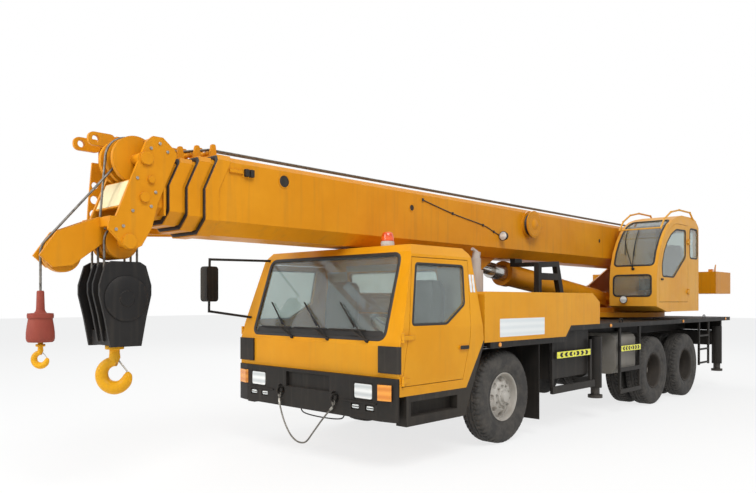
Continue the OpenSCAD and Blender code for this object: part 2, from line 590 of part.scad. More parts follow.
// Turntable: base disc, side plates, cross plates and the two pivot pins
turn_line = [[-2780, ring_z + 60], [-2780, 1760], [-3500, 1900], [-4450, 2300], [1 - pivot_x + 230, 2690],
    [-pivot_x - 170, 2690], [-5330, 2260], [-6150, 2200], [-6150, tail_low], [-5300, ring_z + 60]];
module turntable_frame() color("#DD901C") {
    difference() {
        rod_z(-slew_x, 0, 900, ring_z + seat, ring_z + 80);
        rod_z(-slew_x, 0, 200, ring_z, ring_z + 90);
    }
    both() side(turn_line, plate_in, plate_out);
    block(-5290, -slew_x - 700, -plate_in - 1, plate_in + 1, ring_z + 60, ring_z + 85);
    block(-2860, -2840, -plate_in - 1, plate_in + 1, ring_z + 60, 1500);
    block(-6150, -6130, -plate_in - 1, plate_in + 1, tail_low, 2180);
    rod_y(-pivot_x, pivot_z, 70, -plate_out - 10, plate_out + 10);
    rod_y(-lift_x, lift_z, 60, -plate_out, plate_out);
    both() rod_y(-pivot_x, pivot_z, 150, plate_in - 8, plate_out + 3);
}
module counterweight() color("#DD901C") difference() {
    plan(concat([[-5330, -tail_w], [-5330, tail_w]], [for (a = [90 : 15 : 180]) [200 * cos(a) - tail_x + 200, tail_w - 200 + 200 * sin(a)]],
        [for (a = [180 : 15 : 270]) [200 * cos(a) - tail_x + 200, 200 - tail_w + 200 * sin(a)]]), tail_low, tail_top);
    block(-6151, -5300, -plate_out - seat, plate_out + seat, tail_low - 10, tail_top + 10);
}
module winches() color("#3C3A38") for (x = [-5560, -5920]) {
    rod_y(x, 1960, 130, -300, 300);
    for (s = [-1, 1]) rod_y(x, 1960, 170, s * 310 - 12, s * 310 + 12);
    both() rod_y(x, 1960, 60, 290, plate_in - seat);
}

// Operator cab: curved nose, cut for its windows and door
op_back = -op_front - op_len;
op_line = [[-op_front, 1530], [-op_front, 1950], [-op_front - 35, 2180], [-op_front - 115, 2400], [-op_front - 235, 2590],
    [-op_front - 365, 2740], [-op_front - 525, 2870], [-op_front - 735, 2965], [-op_front - 965, 3030],
    [-op_front - 1215, 3070], [op_back + 120, 3070], [op_back + 30, 3030], [op_back, 2940], [op_back, 1440],
    [-op_front - 415, 1440]];
op_face = [[op_out, 1400], [op_out, 2900], [op_out - 60, 3090], [op_in + 60, 3090], [op_in, 2990], [op_in, 1400]];
op_door_line = [[-op_front - 110, 1600], [-op_front - 110, 2130], [-op_front - 185, 2370], [-op_front - 295, 2550],
    [-op_front - 435, 2700], [-op_front - 610, 2820], [-op_front - 820, 2895], [-op_front - 1340, 2895],
    [-op_front - 1340, 1600]];
op_pane_line = [[-op_front - 235, 2010], [-op_front - 215, 2190], [-op_front - 300, 2400], [-op_front - 420, 2560],
    [-op_front - 590, 2700], [-op_front - 820, 2800], [-op_front - 1240, 2810], [-op_front - 1235, 2360],
    [-op_front - 705, 2005]];
op_screen = rounded(box2(op_in + 65, op_out - 65, 2185, 2960), 60);
op_low_pane = rounded(box2(op_in + 70, op_out - 90, 1690, 2030), 70);
op_rear_side = rounded(box2(op_back + 60, op_back + 430, 2350, 2860), 70);
op_rear_pane = rounded(box2(op_in + 90, op_out - 90, 2200, 2850), 60);
module op_solid(d) intersection() {
    side(inset(op_line, d), op_in - 10, op_out + 10);
    front(inset(op_face, d), op_back - 10, 10 - op_front);
}
module op_skin(a, b) difference() { op_solid(a); op_solid(b); }
module op_panes(d) {
    front(inset(op_screen, d), -op_front - 760, 50 - op_front);
    front(inset(op_low_pane, d), -op_front - 100, 50 - op_front);
    side(inset(op_rear_side, d), op_out - 150, op_out + 50);
    front(inset(op_rear_pane, d), op_back - 50, op_back + 100);
}
rail_way = [[-op_front - 360, 2700], [-op_front - 283, 2795], [-op_front - 425, 2950], [-op_front - 705, 3085],
    [-op_front - 1065, 3150], [op_back + 300, 3150], [op_back + 135, 3030]];
module op_cab_shell() color("#E8A846") {
    difference() {
        op_skin(0, op_wall);
        op_panes(0);
        side(inset(op_door_line, -6), op_out - 150, op_out + 50);
    }
    block(-3950, -3000, plate_out + seat, op_in + 1, 1450, 1600);
    for (y = [op_in + 45, op_out - 45]) for (i = [0 : len(rail_way) - 2]) {
        link([rail_way[i][0], y, rail_way[i][1]], [rail_way[i + 1][0], y, rail_way[i + 1][1]], 15);
        if (i > 0) translate([rail_way[i][0], y, rail_way[i][1]]) sphere(r = 19);
    }
    rod_y(rail_way[1][0], rail_way[1][1], 12, op_in + 45, op_out - 45);
    rod_x(710, 1635, 26, -op_front - 10, 30 - op_front);
    translate([28 - op_front, 710, 1635]) rotate([0, 90, 0]) cylinder(h = 70, r1 = 40, r2 = 60);
    for (z = op_hinge_z) ears(op_pin_x, op_pin_y, z, op_pin_x - 50);
}
module op_cab_glass() color("#46545A") intersection() { op_skin(10, 16); op_panes(seat); }
op_pin_x = -op_front - 1343;
op_pin_y = op_out + 17;
op_hinge_z = [1750, 2600];
module op_door() color("#E8A846") {
    difference() {
        intersection() { op_skin(0, op_wall); side(op_door_line, op_out - 150, op_out + 50); }
        side(op_pane_line, op_out - 200, op_out + 50);
    }
    for (z = op_hinge_z) eye(op_pin_x, op_pin_y, z, op_pin_x + 70);
    for (z = op_hinge_z) block(op_pin_x + 18, op_pin_x + 70, op_out - 2, op_pin_y, z, z + 44);
}
module op_door_glass() color("#46545A") intersection() { op_skin(10, 16); side(inset(op_pane_line, seat), op_out - 200, op_out + 50); }
module op_cab_interior() color("#33322F") {
    block(op_back + 450, op_back + 850, op_in + 180, op_out - 180, 1440 + op_wall + seat, 1800);
    side(rounded([[op_back + 920, 1790], [op_back + 920, 1900], [op_back + 400, 1900], [op_back + 400, 1790]], 30), op_in + 140, op_out - 140);
    side(rounded([[op_back + 480, 1880], [op_back + 400, 2600], [op_back + 290, 2600], [op_back + 370, 1880]], 30), op_in + 140, op_out - 140);
    both_y = (op_in + op_out) / 2;
    for (s = [-1, 1]) translate([0, both_y + s * 250, 0]) {
        block(op_back + 500, op_back + 900, -50, 50, 1900 - 100, 2000);
        rod_z(op_back + 840, 0, 12, 1990, 2200);
    }
}

// Boom: base section with front collar, then three sections nested inside it
function tube(w, lo, hi, cy, cz, ct) = [[w / 2, lo + cz], [w / 2, hi - ct], [w / 2 - ct, hi], [ct - w / 2, hi], [-w / 2, hi - ct],
    [-w / 2, lo + cz], [cy - w / 2, lo], [w / 2 - cy, lo]];
function sect(n) = tube(boom_w - 78 * n, boom_low + 36 * n, boom_top - 36 * n, 140 - 12 * n, 120 - 10 * n, 50 - 5 * n);
mouth_rake = 175;
mouth_z = boom_low + 385;
lug_h = 140;
module shell(n, d, x0, x1) difference() { front(inset(sect(n), d), x0, x1); front(inset(sect(n), boom_wall), x0 - 1, x1 + 1); }
module section(n, x0, x1) difference() {
    shell(n, 0, x0, x1 + mouth_rake);
    side([[x1, boom_top + 60], [x1 + mouth_rake, mouth_z], [x1 + 400, mouth_z], [x1 + 400, boom_top + 60]], -500, 500);
}
// Collar round the mouth of a section, with two lugs and a roller that lead the hoist rope over it
module collar(n, x0, x1) {
    intersection() {
        shell(n, -12, x0 - 5, x1 + mouth_rake + 5);
        side([[x1, boom_top + 60], [x0, boom_top + 60], [x0 + mouth_rake, mouth_z], [x0 + mouth_rake, boom_low - 40],
            [x1 + mouth_rake, boom_low - 40], [x1 + mouth_rake, mouth_z]], -500, 500);
    }
    rope_lugs(boom_top - 36 * n, x1 - 7 + 17 * n);
}
module rope_lugs(z, x) {
    both() side(rounded([[x, z - 5], [x - 25, z + lug_h], [x - 65, z + lug_h], [x - 85, z - 5]], 15), 95, 120);
    rod_y(x - 45, z + 70, 20, -120, 120);
}
module boom_base() color("#D68D10") {
    difference() {
        union() {
            section(0, -pivot_x - 230, boom_front);
            collar(0, boom_front - 130, boom_front);
            front(inset(sect(0), 2), -pivot_x - 230, -pivot_x + 180);
        }
        rod_y(-pivot_x, pivot_z, 70 + seat, -500, 500);
    }
    both() difference() {
        side([[eye_x + 420, boom_low + 5], [eye_x - 420, boom_low + 5], [eye_x - 110, eye_z - 60], [eye_x - 60, eye_z - 105],
            [eye_x + 60, eye_z - 105], [eye_x + 110, eye_z - 60]], 82, 125);
        rod_y(eye_x, eye_z, 20, 60, 75);
    }
    both() rod_y(eye_x, eye_z, 48, 74 + seat, 150);
    pads(0, boom_front);
    rope_lugs(boom_top, 100 - pivot_x);
    rod_y(-220, 2690, 190, boom_w / 2 - 1, boom_w / 2 + 20);
    rod_y(-220, 2690, 60, boom_w / 2 - 1, boom_w / 2 + 90);
    rod_y(-220, 2690, 190, boom_w / 2 + 80, boom_w / 2 + 95);
    for (x = [3300, -900]) block(x - 50, x + 50, jib_y0, -boom_w / 2 + 2, jib_bot(x) + 5, jib_bot(x) + 95);
}
// Wear pads that carry the next section inside the mouth of the one before
module pads(n, x) both() {
    translate([mouth_rake, 0, 0]) block(x - 90, x - 10, 20, 100, boom_low + 36 * n + boom_wall - 1, boom_low + 36 * (n + 1) - seat);
    block(x - 90, x - 10, 60, 180, boom_top - 36 * (n + 1) + seat, boom_top - 36 * n - boom_wall + 1);
}
module tele_2() color("#D68D10") {
    section(1, -4550, boom_front + 150);
    collar(1, boom_front + 30, boom_front + 150);
    pads(1, boom_front + 150);
}
module tele_3() color("#D68D10") {
    section(2, -4400, boom_front + 300);
    collar(2, boom_front + 180, boom_front + 300);
    pads(2, boom_front + 300);
}
fall_z = 2100;
fall_r = 130;
head_w = boom_w - 78 * 3 + 60;
head_line = [[5490, 2225], [5580, 2070], [5640, 2040], [5710, 2040], [5860, 2190], [5855, 2250], [5800, 2290], [5540, 2930],
    [5480, 2985], [5390, 2985], [5275, 2890], [5260, 2850], [5440, 2420]];
top_x = 5570;
top_z = 2790;
top_r = 190;
groove = 8;
module sheave(x, z, r, w) for (y = [-110, 0, 110]) translate([x, y, z]) rotate([90, 0, 0]) rotate_extrude($fn = 32)
    polygon([[30, -w], [r + groove, -w], [r, -w / 2], [r, w / 2], [r + groove, w], [30, w]]);
module boom_head() color("#D68D10") {
    section(3, -4250, boom_front + 480);
    both() {
        side(head_line, head_w / 2 - 32, head_w / 2);
        for (q = [[hook_x, fall_z, 60], [top_x - 30, top_z, 55], [5560, 2470, 42], [5500, 2620, 30]])
            rod_y(q[0], q[1], q[2], head_w / 2 - 1, head_w / 2 + 22);
    }
    rod_y(top_x, top_z, 45, -head_w / 2, head_w / 2);
    rod_y(hook_x, fall_z, 45, -head_w / 2, head_w / 2);
    sheave(hook_x, fall_z, fall_r, 22);
    sheave(top_x, top_z, top_r, 22);
    side([[5735, 2370], [5755, 2378], [5661, 2610], [5641, 2602]], -head_w / 2 + 1, head_w / 2 - 1);
    rod_y(5480, 2950, 22, -head_w / 2, head_w / 2);
    block(boom_front + 500, boom_front + 520, -head_w / 2 + 1, head_w / 2 - 1, boom_low + 130, mouth_z - 20);
    both() {
        side([[5780, 2120], [5850, 2300], [nose_x + 60, nose_z + 170], [nose_x + 190, nose_z - 20], [nose_x + 90, nose_z - 110],
            [nose_x - 60, nose_z - 90]], 50, 74);
        block(5790, 5850, 50, head_w / 2 - 1, 2215, 2295);
    }
    rod_y(nose_x, nose_z, 40, -74, 74);
    rod_y(nose_x, nose_z, nose_r, -32, 32);
}

// Fly jib folded along the right side of the boom, a tapering lattice with its foot at the boom head
jib_y0 = -boom_w / 2 - 118;
jib_x0 = 5450;
jib_x1 = -2000;
function jib_top(x) = 3100 - 150 * (jib_x0 - x) / (jib_x0 - jib_x1);
function jib_bot(x) = 2225 + 435 * (jib_x0 - x) / (jib_x0 - jib_x1);
module jib_face() {
    polygon([[jib_x0, jib_top(jib_x0) - 60], [jib_x0, jib_top(jib_x0)], [jib_x1, jib_top(jib_x1)], [jib_x1, jib_top(jib_x1) - 60]]);
    polygon([[jib_x0, jib_bot(jib_x0)], [jib_x0, jib_bot(jib_x0) + 60], [jib_x1, jib_bot(jib_x1) + 60], [jib_x1, jib_bot(jib_x1)]]);
    for (i = [0 : 11]) let (a = jib_x0 - 80 - i * 610, b = a - 305, c = a - 610) {
        polygon([[a, jib_bot(a) + 30], [a - 40, jib_bot(a) + 30], [b - 40, jib_top(b) - 30], [b, jib_top(b) - 30]]);
        polygon([[b, jib_top(b) - 30], [b - 40, jib_top(b) - 30], [c - 40, jib_bot(c) + 30], [c, jib_bot(c) + 30]]);
    }
    polygon([[jib_x0, jib_bot(jib_x0)], [jib_x0, jib_top(jib_x0)], [jib_x0 - 60, jib_top(jib_x0)], [jib_x0 - 60, jib_bot(jib_x0)]]);
    polygon([[jib_x1 + 60, jib_bot(jib_x1)], [jib_x1 + 60, jib_top(jib_x1)], [jib_x1, jib_top(jib_x1)], [jib_x1, jib_bot(jib_x1)]]);
}
module jib_wall(y) translate([0, y, 0]) rotate([90, 0, 0]) linear_extrude(45) jib_face();
module fly_jib() color("#D68D10") {
    jib_wall(jib_y0 - seat);
    jib_wall(jib_y0 - 330);
    for (x = [jib_x0 - 60, 3900, 2300, 700, -900, jib_x1]) for (z = [jib_top(x) - 55, jib_bot(x) + 5])
        block(x, x + 60, jib_y0 - 335, jib_y0 - 40, z, z + 50);
    difference() {
        side([[jib_x0 - 10, 2240], [jib_x0 + 125, 2240], [jib_x0 + 110, 2500], [jib_x0 + 75, 2900], [jib_x0 - 10, 2900]],
            jib_y0 - 355, jib_y0 - 331);
        for (h = [[58, 2422, 42], [55, 2556, 38], [50, 2690, 32]]) rod_y(jib_x0 + h[0], h[1], h[2], jib_y0 - 400, jib_y0 - 300);
    }
    for (z = [jib_top(jib_x0) - 40, jib_bot(jib_x0) + 40]) for (y = [jib_y0 - 340, jib_y0 - 40]) difference() {
        side(rounded([[jib_x0 + 240, z - 60], [jib_x0 + 240, z + 60], [jib_x0 - 10, z + 60], [jib_x0 - 10, z - 60]], 50), y - 35, y);
        rod_y(jib_x0 + 175, z, 32, y - 60, y + 20);
    }
}

// Lift cylinder
lift_dir = [eye_x + lift_x, 0, eye_z - lift_z];
lift_len = norm(lift_dir);
lift_a = -atan2(lift_dir[2], lift_dir[0]);
module along_lift() translate([-lift_x, 0, lift_z]) rotate([0, lift_a, 0]) children();
module lift_barrel() color("#D68D10") along_lift() difference() {
    union() {
        rod_x(0, 0, 160, 150, lift_len - 780);
        rod_x(0, 0, 178, lift_len - 900, lift_len - 770);
        rod_y(0, 0, 130, -150, 150);
        block(0, 200, -150, 150, -110, 110);
    }
    rod_y(0, 0, 60 + seat, -200, 200);
    rod_x(0, 0, 112, 260, lift_len);
}
module lift_rod() color("#C9C9C6") along_lift() difference() {
    union() {
        rod_x(0, 0, 110, 300, lift_len - 470);
        rod_x(0, 0, 70, lift_len - 480, lift_len - 90);
        rod_y(lift_len, 0, 100, -74, 74);
        block(lift_len - 130, lift_len, -74, 74, -90, 90);
    }
    rod_y(lift_len, 0, 50, -100, 100);
}

// Main hook block on its rope falls
rope_r = 10;
module main_falls() color("#6B6A66") for (y = [-110, 0, 110]) for (s = [-1, 1])
    rod_z(hook_x + s * (fall_r + rope_r + seat), y, rope_r, block_top - 300, fall_z);
hex = [[120, 0], [172, -30], [220, -190], [220, -270], [175, -460], [132, -690], [-132, -690], [-175, -460], [-220, -270],
    [-220, -190], [-172, -30], [-120, 0]];
module hook_block() color("#2B2A29") translate([hook_x, 0, block_top]) difference() {
    union() {
        for (y = [-205, -60, 35, 180]) side([for (p = hex) p * (abs(y + 12) > 100 ? 1 : 0.94)], y, y + 25);
        for (y = [-110, 0, 110]) rod_y(0, -300, fall_r, y - 24, y + 24);
        rod_y(0, -300, 60, -225, 225);
        block(-110, 110, -205, 205, -680, -560);
    }
    rod_z(0, 0, 42 + seat, -700, -540);
}
hook_z = block_top - 690;
hook_arm = concat([for (a = [90 : -15 : -180]) [150 + 0 * a, 0] * 0 + [cos(a) * 158 - 8, sin(a) * 158 - 250]],
    [for (a = [-180 : 15 : 60]) [cos(a) * 82 + 6, sin(a) * 82 - 232]]);
module main_hook() color("#D9A015") translate([hook_x, 0, hook_z]) rotate([0, 0, -46.5]) {
    rod_z(0, 0, 42, -110, 120);
    rod_z(0, 0, 75, -30, 10 - seat);
    side(hook_arm, -40, 40);
}

// Auxiliary ball hook on a single fall
aux_x = nose_x + nose_r + rope_r + seat;
module aux_falls() color("#6B6A66") rod_z(aux_x, 0, rope_r, 1700 + seat, nose_z);
module aux_hook() color("#A0484C") translate([aux_x, 0, 0]) {
    rod_z(0, 0, 32, 1530, 1700);
    intersection() { translate([0, 0, 1415]) sphere(r = 132); rod_z(0, 0, 140, 1300, 1535); }
    rod_z(0, 0, 30, 1240, 1310);
    rotate([0, 0, -46.5]) side([for (p = hook_arm) [p[0] * 0.46, p[1] * 0.46 + 1285]], -20, 20);
}

chassis_frame();
deck();
outrigger_boxes();
engine_hood();
engine_block();
cab_shell();
cab_glass();
cab_interior();
cab_trim();
bumper();
lamps();
front_axle();
rear_bogie();
tanks();
side_guards();
exhaust_stack();
boom_rest();
slewing_ring();
knuckle_left();
knuckle_right();
wheel_front_left();
wheel_front_right();
wheel_mid_left();
wheel_mid_right();
wheel_rear_left();
wheel_rear_right();
door_left();
door_right();
door_left_glass();
door_right_glass();
beam_front_left();
beam_front_right();
beam_rear_left();
beam_rear_right();
jack_front_left();
jack_front_right();
jack_rear_left();
jack_rear_right();
turntable_frame();
counterweight();
winches();
op_cab_shell();
op_cab_glass();
op_cab_interior();
op_door();
op_door_glass();
boom_base();
fly_jib();
tele_2();
tele_3();
boom_head();
lift_barrel();
lift_rod();
main_falls();
hook_block();
main_hook();
aux_falls();
aux_hook();
tow_sling();
air_hose();
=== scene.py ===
# %% [markdown]
# # A three-axle truck crane, parked for travel
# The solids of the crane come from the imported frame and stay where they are. This lesson dresses them: it gives
# every solid a finish, and adds what a solid model leaves out, such as tread, ropes, seals, seats and bolts.

# %% Load the frame
import math
import bmesh
import bpy
import numpy as np
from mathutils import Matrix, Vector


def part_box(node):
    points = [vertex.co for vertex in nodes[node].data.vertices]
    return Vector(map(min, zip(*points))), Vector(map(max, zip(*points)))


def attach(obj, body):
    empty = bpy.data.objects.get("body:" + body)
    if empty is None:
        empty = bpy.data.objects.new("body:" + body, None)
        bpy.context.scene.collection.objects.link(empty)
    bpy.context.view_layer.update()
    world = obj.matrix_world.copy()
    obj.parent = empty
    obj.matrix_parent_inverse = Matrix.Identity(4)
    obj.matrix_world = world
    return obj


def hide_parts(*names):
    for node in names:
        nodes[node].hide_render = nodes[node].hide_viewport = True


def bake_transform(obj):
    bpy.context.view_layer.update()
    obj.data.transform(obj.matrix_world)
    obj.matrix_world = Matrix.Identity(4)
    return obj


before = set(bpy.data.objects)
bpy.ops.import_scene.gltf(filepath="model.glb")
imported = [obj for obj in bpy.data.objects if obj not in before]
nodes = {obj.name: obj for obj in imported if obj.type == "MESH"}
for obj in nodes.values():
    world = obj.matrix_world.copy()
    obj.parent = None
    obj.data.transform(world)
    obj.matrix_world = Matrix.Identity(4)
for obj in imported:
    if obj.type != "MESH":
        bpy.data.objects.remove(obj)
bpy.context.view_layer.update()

# %% [markdown]
# The camera stands ahead of the crane on its left, level, at eye height. It was worked out from the axle spacing
# and the width of the carrier, so the lens and the upward shift are those of the picture and nothing is fitted by eye.

# %% Camera
CAMERA_PLACE = (8.347, 5.541, 1.628)
CAMERA_HEADING = 133.547  # degrees about the vertical
LENS_MM = 32.96
RISE = 0.0708  # upward shift of the level camera, as a share of the picture's width

camera_data = bpy.data.cameras.new("camera")
camera_data.sensor_fit = "HORIZONTAL"
camera_data.sensor_width = 36
camera_data.lens = LENS_MM
camera_data.shift_y = RISE
camera = bpy.data.objects.new("camera", camera_data)
camera.location = CAMERA_PLACE
camera.rotation_euler = (math.radians(90), 0, math.radians(CAMERA_HEADING))
bpy.context.collection.objects.link(camera)
bpy.context.scene.camera = camera
print("camera at", CAMERA_PLACE)

# %% [markdown]
# Every added piece is a surface over a grid of points. A form could be modelled by hand with Blender's tools, but a
# formula keeps the sizes in view and gives the same mesh each time. Four formulas do nearly all the work: a profile
# turned about an axis, a round section carried along a path, a flat outline carried along a straight line, and a
# row of outlines joined one to the next.

# %% Surfaces from grids
def skin(points, round_rows=False, round_columns=True, caps=True):
    """Quads over a grid of points: (i, j) joins (i+1, j), (i+1, j+1) and (i, j+1), round again where a way closes.
    The first and last rows are closed by flat caps."""
    rows, columns = points.shape[:2]
    i, j = np.meshgrid(np.arange(rows - (not round_rows)), np.arange(columns - (not round_columns)),
                       indexing="ij")
    a, b = (i + 1) % rows, (j + 1) % columns
    faces = np.stack([i * columns + j, a * columns + j, a * columns + b, i * columns + b], -1).reshape(-1,
            4).tolist()
    if caps and not round_rows:
        faces += [list(range(columns)), list(range((rows - 1) * columns, rows * columns))]
    return points.reshape(-1, 3), faces


def across(axis):
    """Two unit vectors square to an axis and to each other."""
    axis = np.asarray(axis, float) / np.linalg.norm(axis)
    first = np.cross(axis, (0, 0, 1) if abs(axis[2]) < 0.9 else (1, 0, 0))
    first /= np.linalg.norm(first)
    return axis, first, np.cross(axis, first)


def turned(profile, centre, axis, steps=48):
    """A profile of (distance along the axis, radius) turned about the axis:
    point = centre + distance * axis + radius * (cos a * first + sin a * second)."""
    axis, first, second = across(axis)
    profile = np.asarray(profile, float)
    a = np.linspace(0, 2 * np.pi, steps, endpoint=False)[:, None, None]
    spokes = np.cos(a) * first + np.sin(a) * second
    points = np.asarray(centre, float) + profile[:, :1] * axis + profile[:, 1:] * spokes
    return skin(points, round_rows=True, round_columns=False)


def swept(path, radius, sides=10, up=(0, 0, 1)):
    """A circle carried along a path: at each point it lies across the path's direction, and its own zero angle
    stays square to the given up vector. The radius may change along the path."""
    path = np.asarray(path, float)
    along = np.gradient(path, axis=0)
    along /= np.linalg.norm(along, axis=1, keepdims=True)
    first = np.cross(along, np.asarray(up, float))
    first /= np.linalg.norm(first, axis=1, keepdims=True)
    second = np.cross(along, first)
    a = np.linspace(0, 2 * np.pi, sides, endpoint=False)[None, :, None]
    radius = np.broadcast_to(np.asarray(radius, float), len(path))[:, None, None]
    return skin(path[:, None] + radius * (np.cos(a) * first[:, None] + np.sin(a) * second[:, None]))


def prism(outline, origin, u, v, depth):
    """A flat outline, in directions u and v from an origin, carried along the straight vector depth."""
    outline = np.asarray(outline, float)
    base = np.asarray(origin, float) + outline[:, :1] * np.asarray(u, float) + outline[:, 1:] * np.asarray(v,
            float)
    return skin(np.stack([base, base + np.asarray(depth, float)]))


def plate(low, high):
    """A rectangle in x and z carried along y, from the low corner to the high one."""
    low, high = np.asarray(low, float), np.asarray(high, float)
    corners = np.array([[0, 0], [1, 0], [1, 1], [0, 1]]) * (high - low)[[0, 2]]
    return prism(corners, low, (1, 0, 0), (0, 0, 1), (0, high[1] - low[1], 0))


def smooth_path(points, count):
    """A Catmull-Rom curve through the points, read at count even steps: each span is the cubic whose slopes at its
    ends are half the way from the point before to the point after."""
    p = np.asarray(points, float)
    p = np.vstack([2 * p[0] - p[1], p, 2 * p[-1] - p[-2]])
    t = np.linspace(0, len(points) - 1, count)
    k = np.minimum(t.astype(int), len(points) - 2)
    t = (t - k)[:, None]
    a, b, c, d = p[k], p[k + 1], p[k + 2], p[k + 3]
    return 0.5 * (2 * b + (c - a) * t + (2 * a - 5 * b + 4 * c - d) * t ** 2 + (3 * b - a - 3 * c + d) * t ** 3)


def mirrored(shape):
    """The same surface on the other side of the crane: y changes sign."""
    points, faces = shape
    return points * (1, -1, 1), faces


def piece(name, shapes, finish, body, stands_for=(), bevel=0.0, sharp=35):
    """Joins surfaces into one object at the origin that rides on a body."""
    shapes = shapes if isinstance(shapes, list) else [shapes]
    starts = np.cumsum([0] + [len(points) for points, _ in shapes])
    faces = [[start + k for k in face] for start, (_, part) in zip(starts, shapes) for face in part]
    mesh = bpy.data.meshes.new(name)
    mesh.from_pydata(np.concatenate([points for points, _ in shapes]).tolist(), [], faces)
    work = bmesh.new()
    work.from_mesh(mesh)
    bmesh.ops.remove_doubles(work, verts=work.verts, dist=1e-6)
    bmesh.ops.dissolve_degenerate(work, edges=work.edges, dist=1e-6)
    bmesh.ops.recalc_face_normals(work, faces=work.faces)
    work.to_mesh(mesh)
    work.free()
    mesh.polygons.foreach_set("use_smooth", np.ones(len(mesh.polygons), bool))
    mesh.set_sharp_from_angle(angle=math.radians(sharp))
    mesh.materials.append(finish)
    obj = bpy.data.objects.new(name, mesh)
    bpy.context.collection.objects.link(obj)
    if bevel:
        edge = obj.modifiers.new("edges", "BEVEL")
        edge.width, edge.segments, edge.limit_method = bevel, 2, "ANGLE"
    if body:
        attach(obj, body)
    if stands_for:
        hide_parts(*stands_for)
    print(f"{name}: {len(mesh.polygons)} faces")
    return obj

# %% [markdown]
# Finishes are built from nodes, in Object coordinates, so a pattern keeps its real size in millimetres. Colours are
# written as they show on a screen and turned to linear light by one function. One more function adds a node.

# %% Colours and nodes
def linear(code):
    """A screen colour such as #E8A018 as linear light: c / 12.92 below 0.04045, else ((c + 0.055) / 1.055) ** 2.4."""
    c = np.array([int(code[k:k + 2], 16) for k in (1, 3, 5)]) / 255
    return (*np.where(c <= 0.04045, c / 12.92, ((c + 0.055) / 1.055) ** 2.4).tolist(), 1.0)


def add(tree, kind, settings=None, links=None):
    """Adds one node. Settings name its sockets or properties, links name its sockets and what feeds them."""
    node = tree.nodes.new(kind)
    for key, value in (settings or {}).items():
        if isinstance(key, str) and hasattr(node, key):
            setattr(node, key, value)
    for key, value in (settings or {}).items():
        if not (isinstance(key, str) and hasattr(node, key)):
            node.inputs[key].default_value = value
    for key, socket in (links or {}).items():
        tree.links.new(socket, node.inputs[key])
    return node


def start(name):
    """A new material with an output, its Object coordinates and the main shader, not yet joined up."""
    material = bpy.data.materials.new(name)
    material.use_nodes = True
    tree = material.node_tree
    tree.nodes.clear()
    place = add(tree, "ShaderNodeTexCoord").outputs["Object"]
    shader = add(tree, "ShaderNodeBsdfPrincipled")
    add(tree, "ShaderNodeOutputMaterial", links={"Surface": shader.outputs[0]})
    return material, tree, place, shader


def per_metre(size_mm):
    """How many cells of a pattern of that size there are in a metre."""
    return 1000 / size_mm


def noise(tree, place, size_mm, detail, **more):
    """A cloudy pattern whose clouds are about that size."""
    settings = {"Scale": per_metre(size_mm), "Detail": detail, **more}
    return add(tree, "ShaderNodeTexNoise", settings, {0: place}).outputs[0]


def ramp(tree, value, settings):
    """Reads a value through a range: sockets 1 and 2 are its ends on the way in, 3 and 4 on the way out."""
    return add(tree, "ShaderNodeMapRange", settings, {0: value}).outputs[0]


def times(tree, first, second):
    """The product of two values."""
    return add(tree, "ShaderNodeMath", {"operation": "MULTIPLY"}, {0: first, 1: second}).outputs[0]


def mixed(tree, share, first, second):
    """A share of the second colour over the first. Each is a colour code or the output of a node."""
    settings, links = {"data_type": "RGBA"}, {0: share}
    for key, colour in ((6, first), (7, second)):
        if isinstance(colour, str):
            settings[key] = linear(colour)
        else:
            links[key] = colour
    return add(tree, "ShaderNodeMix", settings, links).outputs[2]


def bumped(tree, height, strength, distance, normal=None):
    """A normal tilted by the slopes of a height pattern."""
    links = {"Height": height, "Normal": normal} if normal else {"Height": height}
    return add(tree, "ShaderNodeBump", {"Strength": strength, "Distance": distance}, links).outputs[0]


def dress(tree, shader, sockets):
    """Feeds the shader's inputs, named by the keys."""
    for key, socket in sockets.items():
        tree.links.new(socket, shader.inputs[key])


# %% [markdown]
# The crane's main finish is sprayed machine enamel on steel plate: an even colour that has faded in wide patches,
# with rain streaks down the sides, dust low down, and edges knocked to the dark primer. The bevel node rounds the
# look of a cut edge a little, and where it turns the surface most the paint is worn. The yellow is one enamel in four
# copies whose tones are painted light and shade: darkest on the boom, lightest on the operator cab.

# %% Sprayed enamel and chassis paint
EDGE_ROUND = 0.007
PAINT_SPECULAR = 0.18  # weathered paint mirrors little


